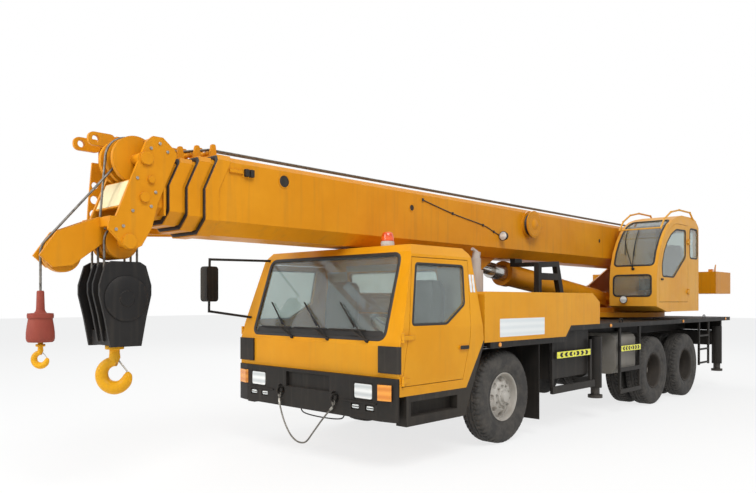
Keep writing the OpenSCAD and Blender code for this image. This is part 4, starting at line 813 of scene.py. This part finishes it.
def lamp_face(low_y, high_y, low_z, high_z, x, depth, radius):
    """A rounded rectangle in y and z carried along x."""
    return prism(rounded_outline(box_corners(low_y, high_y, low_z, high_z), radius), (x, 0, 0), (0, 1, 0),
                 (0, 0, 1), (depth, 0, 0))


def lamp_rim(low_y, high_y, low_z, high_z, x, radius, width):
    """A bead round a lamp's face."""
    outline = evenly(rounded_outline(box_corners(low_y, high_y, low_z, high_z), radius), 60)
    return frame_seal(np.stack([np.full(60, x), outline[:, 0], outline[:, 1]], -1), (1, 0, 0), width, 0.012)


HEAD_LAMPS = [(0.7003, 0.9597, 0.6653, 0.8297)]
FOG_LAMPS = [(0.661, 0.781, 0.5603, 0.6197), (0.859, 0.979, 0.5603, 0.6197)]
housings, lenses, rims = [], [], []
for y0, y1, z0, z1 in HEAD_LAMPS + FOG_LAMPS:
    front = 3.590 if z1 > 0.7 else 3.585
    housings.append(lamp_face(y0, y1, z0, z1, 3.5605, front - 3.562, 0.012))
    lenses.append(lamp_face(y0 + 0.012, y1 - 0.012, z0 + 0.012, z1 - 0.012, front - 0.001, 0.0125, 0.02))
    rims.append(lamp_rim(y0 + 0.009, y1 - 0.009, z0 + 0.009, z1 - 0.009, front + 0.003, 0.02, 0.014))
piece("lamp_housings", housings + rims + [mirrored(s) for s in housings + rims], trim_black, "carrier",
      ["lamps"])
piece("white_lamps", lenses + [mirrored(s) for s in lenses], bright_lens, "carrier", ["lamps"],
      bevel=0.004)
CORNER_LAMP = [(3.6003, 1.05), (3.6003, 1.03), (3.628, 1.045), (3.595, 1.195), (3.5753, 1.18)]
corner = prism(CORNER_LAMP, (0, 0, 0.68), (1, 0, 0), (0, 1, 0), (0, 0, 0.15))
MARKER = [(0.0003, 0), (0.0003, 0.026), (0.006, 0.026), (0.0125, 0.021), (0.0175, 0.009), (0.018, 0)]
markers = [turned(MARKER, (x, side * HALF_WIDTH, z), (0, side, 0), 24)
           for side in (-1, 1) for x, z in ((1.88, 1.135), (-0.87, 1.2725), (-3.6, 1.2725), (-5.78, 1.2725))]
BEACON_PLACE = (3.10, 0.69, 2.18)
BEACON = [(0.0553, 0), (0.0553, 0.068), (0.075, 0.067), (0.115, 0.060), (0.138, 0.052), (0.147, 0.04),
          (0.149, 0.02), (0.149, 0)]
beacon = turned(BEACON, BEACON_PLACE, (0, 0, 1), 40)
piece("amber_lamps", [corner, mirrored(corner)] + markers, amber_lens, "carrier", ["lamps"],
      bevel=0.002)
piece("beacon", beacon, beacon_lens, "carrier", ["lamps"])
piece("beacon_base", turned([(0.0003, 0), (0.0003, 0.07), (0.04, 0.07), (0.047, 0.066), (0.055, 0.066),
                             (0.055, 0)], BEACON_PLACE,
                            (0, 0, 1), 40), stack_grey, "carrier", ["lamps"])
lamp_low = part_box("lamps")[0]
tails = [prism(rounded_outline(box_corners(side * 0.8, side * 1.08, 1.075, 1.185), 0.012), (lamp_low.x, 0, 0),
               (0, 1, 0), (0, 0, 1),
               (0.0247, 0, 0)) for side in (-1, 1)]
piece("tail_lamps", tails, red_lens, "carrier", ["lamps"], bevel=0.004)

# %% [markdown]
# A truck seat is a foam block under sewn vinyl: crowned faces, rounded edges and seams that pull the cover in. A sphere
# whose coordinates are raised to a power below one swells into such a block, and the seams are dips across it.

# %% Seats
def cushion(low, high, lean=0.0, seams=3):
    """x, y, z = half size * sign(c) |c|^0.42, c being a sphere's coordinates. A seam lowers the block by up to 5 percent
    where the place across lies on one of its lines. lean shifts x for each metre of height."""
    low, high = np.asarray(low, float), np.asarray(high, float)
    u, v = np.linspace(-np.pi / 2, np.pi / 2, 45)[:, None], np.linspace(0, 2 * np.pi, 112, endpoint=False)[None]
    c = np.stack(np.broadcast_arrays(np.cos(u) * np.cos(v), np.cos(u) * np.sin(v), np.sin(u)), -1)
    c = np.sign(c) * np.abs(c) ** 0.42
    line = (c[..., 1] * 0.5 + 0.5) * (seams + 1)
    dip = 0.05 * np.exp(-((line - np.round(line)) / 0.12) ** 2) * (np.abs(c[..., 1]) < 0.9)
    c = c * (1 - dip[..., None] * (1, 0, 1))
    points = (low + high) / 2 + c * (high - low) / 2
    points[..., 0] += lean * c[..., 2] * (high[2] - low[2]) / 2
    return skin(points)


seats = {
    "cab_cushions": ([cushion((2.48, s * 0.65 - 0.27, 1.01), (2.96, s * 0.65 + 0.27, 1.12)) for s in (-1, 1)],
                     "carrier", "cab_interior"),
    "cab_backrests": ([cushion((2.42, s * 0.65 - 0.27, 1.115), (2.53, s * 0.65 + 0.27, 1.85), -0.08)
                       for s in (-1, 1)], "carrier",
                      "cab_interior"),
    "operator_cushion": (cushion((-4.05, 0.57, 1.79), (-3.53, 1.07, 1.90)), "superstructure",
                         "op_cab_interior"),
    "operator_backrest": (cushion((-4.12, 0.57, 1.90), (-4.01, 1.07, 2.60), -0.11), "superstructure",
                          "op_cab_interior"),
}
for name, (shapes, body, stood) in seats.items():
    piece(name, shapes, seat_vinyl, body, [stood], sharp=60)

# %% [markdown]
# The rest of the cab is moulded plastic and pressed steel: the dash across the front, the wheel on its column, the
# seat bases, and pale panels that line the rear wall and the roof.

# %% Dash, wheel, levers and lining
lining_vinyl = moulded("pale lining board", "#B9B2A3", "#978F80", 0.7, 8, 0.15, 0.4)
DASH = [(3.493, 0.7653), (3.493, 1.18), (3.30, 1.225), (3.14, 1.15), (3.21, 0.7653)]
dash = prism(rounded_outline(DASH, 0.03), (0, -1.125, 0), (1, 0, 0), (0, 0, 1), (0, 2.25, 0))
wheel_middle, wheel_axis = np.array([2.98, 0.62, 1.33]), np.array([-0.656, 0, 0.755])
across_wheel = np.array([0.755, 0, 0.656])
turn = np.linspace(0, 2 * np.pi, 64, endpoint=False)[:, None]
wheel_rim = wheel_middle + 0.215 * (np.cos(turn) * across_wheel + np.sin(turn) * np.array([0, 1, 0]))
spokes = [swept([wheel_middle, wheel_middle + 0.212 * (math.cos(a) * across_wheel + math.sin(a) * np.array([0,
        1, 0]))], 0.011, 12, wheel_axis)
          for a in (math.pi / 2, math.pi * 7 / 6, math.pi * 11 / 6)]
wheel_hub = turned([(-0.015, 0), (-0.015, 0.055), (0.008, 0.055), (0.015, 0.042), (0.015, 0)], wheel_middle,
                   wheel_axis, 32)
column = swept([(3.20, 0.62, 1.08), wheel_middle], 0.028, 16, (0, 1, 0))
bases = [plate((2.56, s * 0.65 - 0.23, 0.7653), (2.90, s * 0.65 + 0.23, 1.012)) for s in (-1, 1)]
piece("cab_dash", dash, dash_plastic, "carrier", ["cab_interior"], bevel=0.006)
piece("steering_wheel", [frame_seal(wheel_rim, wheel_axis, 0.03, 0.03), wheel_hub, column] + spokes,
      dash_plastic, "carrier",
      ["cab_interior"])
piece("cab_seat_bases", bases, chassis_black, "carrier", ["cab_interior"], bevel=0.012)
WALL_DEPTH = 0.047
linings = [prism([(rear_x(z0), z0), (rear_x(z1), z1), (rear_x(z1) + 0.01, z1), (rear_x(z0) + 0.01, z0)],
                 (WALL_DEPTH, y0, 0), (1, 0, 0),
                 (0, 0, 1), (0, y1 - y0, 0)) for y0, y1, z0, z1 in
           ((-1.12, 1.12, 1.21, 1.46), (-1.08, -0.72, 1.463, 1.98), (0.72, 1.08, 1.463, 1.98),
            (-0.717, 0.717, 1.975, 2.05))]
roof_lining = plate((2.46, -1.0, 2.120), (3.10, 1.0, 2.130))
piece("cab_lining", linings + [roof_lining], lining_vinyl, "carrier", bevel=0.003)
levers = [swept(smooth_path([(-3.61, y, 1.995), (-3.605, y, 2.08), (-3.615, y, 2.17)], 12), 0.009, 12,
                (0, 1, 0)) for y in (0.57, 1.07)]
knobs = [turned([(0, 0), (0.004, 0.014), (0.02, 0.021), (0.036, 0.017), (0.042, 0)], (-3.615, y, 2.158),
                (0, 0, 1), 24) for y in (0.57, 1.07)]
consoles = [plate((-3.95, y - 0.05, 1.80), (-3.55, y + 0.05, 2.0)) for y in (0.57, 1.07)]
op_base = plate((-4.0, 0.61, 1.4753), (-3.60, 1.03, 1.793))
piece("operator_console", consoles + levers + knobs + [op_base], dash_plastic, "superstructure",
      ["op_cab_interior"], bevel=0.012)

# %% [markdown]
# From the winch the hoist rope runs up behind the boom, along the top over a roller at the mouth of each section, and
# over the top sheave to the falls. Each stretch between two bodies is fixed in place and rides on neither.

# %% Hoist ropes along the boom
ROPE_STOPS = [("boom_base", (4.813, 3.0053)), ("tele_2", (4.980, 2.9693)), ("tele_3", (5.147, 2.9333)),
              ("boom_head", (5.480, 2.9825))]
TAIL_ROLLER = (-4.895, 3.0053)


def rope_run(name, y, drum, drum_side):
    """Straight runs from stop to stop at one place across the boom."""
    start, bend, end = (drum - drum_side, y, 2.03), (-5.235, y, 2.965), (TAIL_ROLLER[0], y, TAIL_ROLLER[1])
    tail = piece(f"{name}_tail", wire_rope(smooth_path([start, bend, end], 60)), wire_steel, None)
    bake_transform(tail)
    spot = ROPE_STOPS[0][1]
    piece(f"{name}_on_base", wire_rope([end, (spot[0], y, spot[1])], spacing=0.02), wire_steel, "boom_base")
    for (body, a), (next_body, b) in zip(ROPE_STOPS[:-1], ROPE_STOPS[1:]):
        p, q = (a[0], y, a[1]), (b[0], y, b[1])
        stretch = piece(f"{name}_to_{next_body}", wire_rope([p, q]), wire_steel, None)
        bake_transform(stretch)


rope_run("hoist_rope", 0.0, -5.56, 0.125)
rope_run("aux_rope", 0.055, -5.92, 0.125)
over_top = np.vstack([[(5.48, 0, 2.9825)], arc(5.57, 0, 2.79, 0.2005, 90, 0), [(5.8303, 0, 2.10)]])
piece("hoist_rope_over_top", wire_rope(over_top), wire_steel, "boom_head")
over_nose = np.vstack([[(5.48, 0.055, 2.9825), (5.507, 0.055, 2.967)], arc(6.125, 0, 1.99, 0.1553, 33, 0)])
piece("aux_rope_over_nose", wire_rope(over_nose), wire_steel, "boom_head")
wound = [turned([(-0.29, 0.13)] + [(-0.29 + 0.02 * k + 0.02 * t, 0.13 + 0.018 * math.sin(math.pi * t))
                                   for k in range(29)
                                   for t in (0.15, 0.5, 0.85)] + [(0.29, 0.13)], (x, 0, 1.96), (0, 1, 0), 40)
         for x in (-5.56, -5.92)]
piece("rope_on_drums", wound, wire_steel, "superstructure")

# %% [markdown]
# A crane hook is forged: a round shank, and an arm that is thickest at the bottom of the bowl and thins to its tip. One
# round section carried along the arm, with a radius that changes, gives it, and a sprung wire closes the mouth.

# %% Hooks and weight
HOOK_WAY = np.array([0.688, -0.725, 0.0])


def forged_hook(x, top, size):
    """The arm follows a circle of 108 mm from the shank clockwise to the tip; its radius runs through given values at
    given angles."""
    a = np.linspace(100, -192, 60)
    thick = np.interp(a, [-192, -180, -150, -90, 0, 60, 100], [0.014, 0.034, 0.048, 0.057, 0.052, 0.044, 0.037])
    flat, rise = -0.001 + 0.108 * np.cos(np.radians(a)), -0.241 + 0.108 * np.sin(np.radians(a))
    base = np.array([x, 0, top])
    path = base + size * (flat[:, None] * HOOK_WAY + rise[:, None] * (0, 0, 1))
    arm = swept(path, size * thick, 20, np.cross(HOOK_WAY, (0, 0, 1)))
    shank = turned(np.array([(0.115, 0), (0.12, 0.03), (0.11, 0.0415), (-0.06, 0.0415), (-0.10, 0.046),
                             (-0.135, 0.034), (-0.14, 0)]) * size,
                   base, (0, 0, 1), 32)
    collar = turned(np.array([(-0.03, 0), (-0.03, 0.07), (-0.026, 0.075), (0.006, 0.075), (0.0095, 0.072),
                              (0.0095, 0)]) * size, base,
                    (0, 0, 1), 40)
    latch = swept(base + size * (np.array([[-0.035], [-0.115]]) * HOOK_WAY + np.array([[-0.125],
            [-0.225]]) * np.array([0, 0, 1.0])),
                  size * 0.007, 10, np.cross(HOOK_WAY, (0, 0, 1)))
    return [arm, shank, collar], latch


main_arm, main_latch = forged_hook(5.69, 1.25, 1.0)
piece("forged_main_hook", main_arm, hook_enamel, "main_hook", ["main_hook"], sharp=50)
piece("main_hook_latch", main_latch, bolt_zinc, "main_hook")
aux_arm, aux_latch = forged_hook(aux_x, 1.285, 0.46)
piece("forged_aux_hook", aux_arm, hook_enamel, "aux_hook", ["aux_hook"], sharp=50)
piece("aux_hook_latch", aux_latch, bolt_zinc, "aux_hook")
WEIGHT = [(1.300, 0), (1.305, 0.088), (1.315, 0.097), (1.335, 0.102), (1.380, 0.101), (1.430, 0.095),
          (1.484, 0.086), (1.490, 0.093),
          (1.510, 0.095), (1.526, 0.092), (1.530, 0.045), (1.545, 0.034), (1.56, 0.031), (1.69, 0.027),
          (1.70, 0.022), (1.70, 0)]
piece("bell_weight", turned(WEIGHT, (aux_x, 0, 0), (0, 0, 1), 56), ball_paint, "aux_hook",
      ["aux_hook"])
BOLT = [(0, 0), (0, 1), (0.55, 1), (0.65, 0.85), (0.65, 0)]


def bolt_heads(places, axis, size):
    """Hexagon bolt heads of one size, standing along one axis."""
    return [turned(np.array(BOLT) * size, place, axis, 6) for place in places]


CHEEK_DISC = [(0.0003, 0), (0.0003, 0.178), (0.004, 0.184), (0.010, 0.184), (0.014, 0.178), (0.014, 0.066),
              (0.018, 0.062), (0.021, 0.062),
              (0.021, 0.0)]
discs = [turned(CHEEK_DISC, (5.69, side * 0.205, 1.64), (0, side, 0), 64) for side in (-1, 1)]
piece("hook_block_discs", discs, block_black, "hook_block")
head_bolts = [s for side in (-1, 1) for s in bolt_heads([(x, side * 0.253, z) for x, z in
              ((5.35, 2.87), (5.42, 2.93), (5.50, 2.88), (5.46, 2.52), (5.50, 2.40), (5.62, 2.62), (5.66, 2.35),
               (5.74, 2.22), (5.80, 2.19))],
              (0, side, 0), 0.014)]
piece("boom_head_bolts", head_bolts, bolt_zinc, "boom_head")

# %% [markdown]
# Signs on the sides are films and painted plates. They stay blank: a white film on the hood, two strips on the cab
# corner, and the yellow plates whose black chevrons point both ways from a diamond.

# %% Films and chevron plates
def film(low_x, high_x, low_z, high_z, y, lift=0.0015):
    """A thin sheet on a side wall, lifted off it by its thickness."""
    side = math.copysign(1, y)
    outline = rounded_outline(box_corners(low_x, high_x, low_z, high_z), 0.008, 4)
    return prism(outline, (0, y + side * 0.0003, 0), (1, 0, 0), (0, 0, 1), (0, side * lift, 0))


piece("blank_films", [film(0.921, 1.878, 1.217, 1.42, y) for y in (HALF_WIDTH, -HALF_WIDTH)], white_film,
      "carrier")


def chevrons(low_x, high_x, low_z, high_z, y):
    """Three chevrons each way from a diamond: bars whose ends meet half way up, at even steps along the plate."""
    middle, half, tall = (low_x + high_x) / 2, (high_z - low_z) / 2 - 0.012, (low_z + high_z) / 2
    step, wide = (high_x - low_x) / 7.4, (high_x - low_x) / 15
    side = math.copysign(1, y)
    arrow = np.array([(0, 0), (half, half), (half + wide, half), (wide, 0), (half + wide, -half),
                      (half, -half)])
    outlines = [arrow * (-way, 1) + (way * (step * k + half * 0.55), 0) for way in (-1, 1) for k in (1, 2, 3)]
    outlines += [np.array([(-half * 0.8, 0), (0, half * 0.9), (half * 0.8, 0), (0, -half * 0.9)])]
    return [prism(np.clip(o + (middle, tall), (low_x, low_z), (high_x, high_z)), (0, y, 0), (1, 0, 0),
                  (0, 0, 1), (0, side * 0.0012, 0))
            for o in outlines]


PLATES = [(-0.265, 0.62, 0.903, 0.982), (-1.875, -1.21, 0.893, 0.972)]
plates = [film(*p, side * HALF_WIDTH, 0.002) for p in PLATES for side in (-1, 1)]
piece("chevron_plates", plates, sign_yellow, "carrier")
piece("chevron_bars", [s for p in PLATES for side in (-1, 1) for s in chevrons(*p, side * 1.2523)], trim_black,
      "carrier")
for name, side in (("left", 1), ("right", -1)):
    grip = prism(rounded_outline(box_corners(2.475, 2.625, 1.12, 1.16), 0.018), (0, side * 1.2683, 0),
                 (1, 0, 0), (0, 0, 1), (0, side * 0.004, 0))
    piece(f"door_{name}_handle", grip, trim_black, f"door_{name}", bevel=0.0015)
LEAN = np.array([0, -0.1308, 0.9914])
strips = [prism(rounded_outline(box_corners(x, x + 0.036, 0, 0.19), 0.008), (0, 1.2043, 1.71), (1, 0, 0), LEAN,
                (0, 0.0015, 0.0002))
          for x in (2.278, 2.330)]
piece("pillar_strips", strips, white_film, "carrier")
GLASS_UP = np.array([-0.2974, 0, 0.9548])
band_start = np.array([screen_x(1.25), 0, 1.25]) - 0.0135 * SCREEN_OUT
band = prism(rounded_outline(box_corners(-0.985, 0.985, 0.006, 0.085), 0.02), band_start, (0, 1, 0), GLASS_UP,
             (0.0019, 0, 0.0006))
piece("windscreen_band", band, seal_rubber, "carrier")

WIPER_ROWS = (0.82, 0.25, -0.32)


def on_screen(y, z, lift):
    """A point on the windscreen's plane, moved forward by lift."""
    return (screen_x(z) + lift, y, z)


screen_arms = [swept([on_screen(y, 1.232, 0.020), on_screen(y - 0.16, 1.35, 0.024),
                      on_screen(y - 0.37, 1.50, 0.020)], 0.006, 10) for y in WIPER_ROWS]
screen_blades = [swept([on_screen(y - 0.22, 1.36, 0.008), on_screen(y - 0.36, 1.485, 0.010),
                        on_screen(y - 0.50, 1.60, 0.008)], 0.009, 10)
          for y in WIPER_ROWS]
piece("windscreen_wipers", screen_arms + screen_blades, trim_black, "carrier")

# %% [markdown]
# Black wipers line the mouth of each boom section and keep grit off the section inside. Each is a bead that follows the
# section's outline, and its place along the boom follows the raked mouth.

# %% Mouth wipers and boom fittings
BOOM_SIDE = 0.34
MOUTHS = [("boom_base", 0, 4.865), ("tele_2", 1, 5.015), ("tele_3", 2, 5.165)]


def section_outline(n, d):
    """The eight corners of boom section n in y and z, moved in by d."""
    half, low, high = 0.340 - 0.039 * n - d, 2.205 + 0.036 * n + d, 2.905 - 0.036 * n - d
    deep, tall, top = 0.140 - 0.012 * n - 0.6 * d, 0.120 - 0.010 * n - 0.5 * d, 0.050 - 0.005 * n - 0.6 * d
    right = [(half - deep, low), (half, low + tall), (half, high - top), (half - top, high)]
    return right + [(-y, z) for y, z in right[::-1]]


for body, n, mouth in MOUTHS:
    outline = evenly(np.array(section_outline(n, 0.018)), 200)
    x = mouth - 0.004 + 0.175 * np.clip((2.965 - outline[:, 1]) / 0.375, 0, 1)
    piece(f"{body}_mouth_wiper", frame_seal(np.stack([x, outline[:, 0], outline[:, 1]], -1), (1, 0, 0), 0.046,
                                            0.024), seal_rubber, body)

SLANT, FACE = np.array([-0.3755, 0, 0.9268]), np.array([0.9268, 0, 0.3755])
panel = prism(rounded_outline(box_corners(-0.205, 0.205, 0.012, 0.240), 0.012),
              np.array([5.755, 0, 2.378]) + 0.0004 * FACE, (0, 1, 0), SLANT,
              0.0025 * FACE)
piece("head_cream_panel", panel, cream_paint, "boom_head")
PORT = [(0.0004, 0.0), (0.0004, 1.0), (0.002, 1.0), (0.002, 0.0)]
PORTS = [(4.176, 2.759, 0.056), (2.313, 2.688, 0.034), (-2.40, 2.60, 0.03)]
covers = [turned([(d, r * size) for d, r in PORT], (x, side * BOOM_SIDE, z), (0, side, 0), 40)
          for side in (-1, 1) for x, z, size in PORTS]
rings = [turned([(0.0004, size), (0.0004, size + 0.012), (0.005, size + 0.010), (0.005, size), (0.0004, size)],
                (x, side * BOOM_SIDE, z), (0, side, 0), 40)
         for side in (-1, 1) for x, z, size in PORTS]
piece("boom_ports", covers, trim_black, "boom_base")
piece("boom_port_rings", rings, boom_shaded_enamel, "boom_base")
piece("limit_switch", [plate((4.545, 0.3404, 2.745), (4.588, 0.378, 2.812)),
                       plate((4.600, 0.3404, 2.745), (4.642, 0.378, 2.812))], trim_black,
      "boom_base", bevel=0.004)
piece("limit_switch_bracket", [plate((4.53, 0.3402, 2.735), (4.66, 0.346, 2.822)),
                               plate((4.66, 0.3402, 2.765), (4.80, 0.360, 2.795))],
      boom_shaded_enamel, "boom_base", bevel=0.002)

# %% [markdown]
# On the boom's side a spring reel keeps the cable of the load computer wound up, and a work lamp lights the hook. The
# cable is drawn as rings on the reel, which is all that shows of it.

# %% Cable reel and work lamp
REEL = (-0.22, 0.0, 2.69)
WORK_LAMP = (0.468, 0.41, 2.48)
OPERATOR_LAMP = (-2.487, 0.71, 1.635)
turns = [(0.3625, 0.062)] + [(0.3625 + 0.009 * k + 0.0045 * t, 0.150 + 0.006 * math.sin(math.pi * t))
                             for k in range(6) for t in (0.1, 1, 1.9)]
piece("reel_cable", turned(turns + [(0.4175, 0.062)], REEL, (0, 1, 0), 56), hose_rubber, "boom_base")
RIBS = [(0.4354, 0.0), (0.4354, 0.176)] + [(0.4354 + 0.005 * (k % 2), 0.176 - 0.016 * k)
                                           for k in range(1, 8)] + [(0.448, 0.052), (0.450, 0.0)]
piece("reel_face", turned(RIBS, REEL, (0, 1, 0), 64), boom_shaded_enamel, "boom_base")
piece("reel_guide", plate((-0.46, 0.3404, 2.665), (-0.405, 0.43, 2.735)), boom_shaded_enamel, "boom_base",
      bevel=0.006)
LAMP = [(0, 0), (0.0, 0.030), (0.02, 0.052), (0.06, 0.062), (0.072, 0.062), (0.072, 0)]
lamp_stud = swept([(0.51, 0.3402, 2.48), (0.51, 0.362, 2.48)], 0.013, 14)
piece("boom_lamp", [turned(LAMP, WORK_LAMP, (1, 0, 0), 40), lamp_stud], trim_black, "boom_base")
piece("boom_lamp_lens", turned([(0.0725, 0), (0.0725, 0.054), (0.077, 0.05), (0.081, 0.03), (0.082, 0)],
                               WORK_LAMP, (1, 0, 0), 40),
      bright_lens, "boom_base")
wire = smooth_path([(2.13, 0.3466, 2.80), (1.55, 0.3466, 2.69), (0.905, 0.3466, 2.598), (0.66, 0.3466, 2.53),
                    (0.52, 0.3466, 2.49)], 60)
clips = [plate((x - 0.012, 0.3403, z - 0.016), (x + 0.012, 0.355, z + 0.016))
         for x, z in ((2.12, 2.80), (1.55, 2.69), (0.905, 2.598), (0.66, 2.53))]
piece("boom_lamp_wiring", [swept(wire, 0.006, 10, (0, 1, 0))] + clips, hose_rubber, "boom_base")

# %% [markdown]
# Last come the small fittings of the upper structure and the deck: wipers, lamp, lock, lifting loops and the tail lamp.

# %% Fittings of the upper structure and deck
def above_nose(points, lift):
    """Points in y and z on the operator cab's nose, moved off it by lift."""
    place, out = on_nose(np.asarray(points, float))
    return place + lift * out


arms = [swept(above_nose(np.linspace((0.82, 2.13), end, 16), 0.022), 0.006, 10, (0, 1, 0.01))
        for end in ((0.60, 2.60), (0.78, 2.58))]
blades = [swept(above_nose(np.linspace(low, high, 14), 0.013), 0.007, 8, (0, 1, 0.01)) for low, high in
          (((0.66, 2.36), (0.55, 2.82)), ((0.81, 2.34), (0.75, 2.80)))]
hubs = [turned([(0, 0), (0, 0.024), (0.02, 0.022), (0.03, 0.012), (0.03, 0)],
               above_nose([(0.82, 2.13)], 0.0005)[0], (0.98, 0, 0.2), 24)]
piece("operator_wipers", arms + blades + hubs, trim_black, "superstructure")
piece("operator_lamp_lens", turned([(0.0004, 0), (0.0004, 0.056), (0.006, 0.052), (0.010, 0.03), (0.011, 0)],
                                   OPERATOR_LAMP, (1, 0, 0), 40),
      bright_lens, "superstructure")
piece("operator_lamp_rim", turned([(-0.014, 0.0585), (-0.014, 0.064), (0.004, 0.064), (0.004, 0.057),
                                   (-0.014, 0.0585)], OPERATOR_LAMP, (1, 0, 0), 40),
      trim_black, "superstructure")
piece("operator_door_lock", plate((-2.83, 1.2104, 1.945), (-2.745, 1.228, 1.975)), trim_black, "op_door",
      bevel=0.005)
weight_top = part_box("counterweight")[1].z
piece("tail_marker", plate((-5.79, 0.96, weight_top + 0.0004), (-5.71, 1.04, weight_top + 0.062)), amber_lens,
      "superstructure", bevel=0.006)
lever = smooth_path([(-6.29, 0.9, weight_top + 0.0004), (-6.29, 0.9, weight_top + 0.05),
                     (-6.30, 0.9, weight_top + 0.11), (-6.33, 0.9, weight_top + 0.17)], 24)
piece("weight_lever", swept(lever, np.linspace(0.016, 0.011, 24), 14, (0, 1, 0)), boom_shaded_enamel, "superstructure")
deck_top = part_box("deck")[1].z
loops = [swept(smooth_path([(x - 0.05, 1.2, deck_top + 0.0004), (x - 0.05, 1.2, deck_top + 0.03),
                            (x - 0.03, 1.2, deck_top + 0.052),
                            (x + 0.03, 1.2, deck_top + 0.052), (x + 0.05, 1.2, deck_top + 0.03),
                            (x + 0.05, 1.2, deck_top + 0.0004)], 30), 0.008, 12, (0, 1, 0))
         for x in (-4.757, -1.31)]
piece("deck_loops", loops, chassis_black, "carrier")

# %% [markdown]
# The stage is a plain pale floor and a pale surround. The lamps and the world light the crane at a plain level; the
# white behind it is only what the camera, a reflection or a window sees, so it adds no light to the crane.

# %% Floor, world and lamps
def pale_stage(tree, lit, shown):
    """Mixes what lights the crane with what the camera, glossy and transmitted rays see."""
    path = add(tree, "ShaderNodeLightPath")
    seen = add(tree, "ShaderNodeMath", {"operation": "MAXIMUM"},
               {0: path.outputs["Is Camera Ray"], 1: path.outputs["Is Glossy Ray"]})
    seen = add(tree, "ShaderNodeMath", {"operation": "MAXIMUM"},
               {0: seen.outputs[0], 1: path.outputs["Is Transmission Ray"]})
    return add(tree, "ShaderNodeMixShader", links={0: seen.outputs[0], 1: lit, 2: shown})


world = bpy.data.worlds.new("pale studio")
world.use_nodes = True
bpy.context.scene.world = world
tree = world.node_tree
tree.nodes.clear()
SKY_LEVEL, FLOOR_GLOW = 0.5, 0.76
sky = add(tree, "ShaderNodeBackground", {0: linear("#EEF2F6"), 1: SKY_LEVEL})
white = add(tree, "ShaderNodeBackground", {0: (1, 1, 1, 1), 1: 1.0})
add(tree, "ShaderNodeOutputWorld", links={0: pale_stage(tree, sky.outputs[0], white.outputs[0]).outputs[0]})

FLOOR_REACH = 60.0
floor_mesh = bpy.data.meshes.new("floor")
floor_mesh.from_pydata([(x * FLOOR_REACH, y * FLOOR_REACH, 0) for x, y in ((-1, -1), (1, -1), (1, 1), (-1, 1))],
                       [], [(0, 1, 2, 3)])
floor = bpy.data.objects.new("floor", floor_mesh)
bpy.context.collection.objects.link(floor)
pale_floor, tree, place, shader = start("pale studio floor")
shader.inputs["Base Color"].default_value = linear("#F4F4F2")
shader.inputs["Roughness"].default_value = 0.9
glow = add(tree, "ShaderNodeEmission", {0: (1, 1, 1, 1), 1: 1.0})
half = add(tree, "ShaderNodeMixShader", {0: FLOOR_GLOW}, {1: shader.outputs[0], 2: glow.outputs[0]})
tree.links.new(pale_stage(tree, shader.outputs[0], half.outputs[0]).outputs[0],
               tree.nodes["Material Output"].inputs["Surface"])
floor_mesh.materials.append(pale_floor)

LAMPS = {  # place, width in metres and watts
    "key": ((7.0, 9.0, 13.0), 9.0, 1500),
    "front fill": ((15.0, -2.0, 6.0), 7.0, 800),
    "back": ((-9.0, -9.0, 10.0), 8.0, 600),
}
for name, (spot, width, watts) in LAMPS.items():
    data = bpy.data.lights.new(name, "AREA")
    data.shape, data.size, data.energy = "DISK", width, watts
    lamp = bpy.data.objects.new(name, data)
    lamp.location = spot
    aim = np.array((0, 0, 1.5)) - np.array(spot)
    lamp.rotation_euler = (math.acos(-aim[2] / np.linalg.norm(aim)), 0,
                           math.atan2(aim[1], aim[0]) - math.pi / 2)
    bpy.context.collection.objects.link(lamp)
bpy.context.scene.view_settings.view_transform = "Standard"
print("lamps:", len(LAMPS))
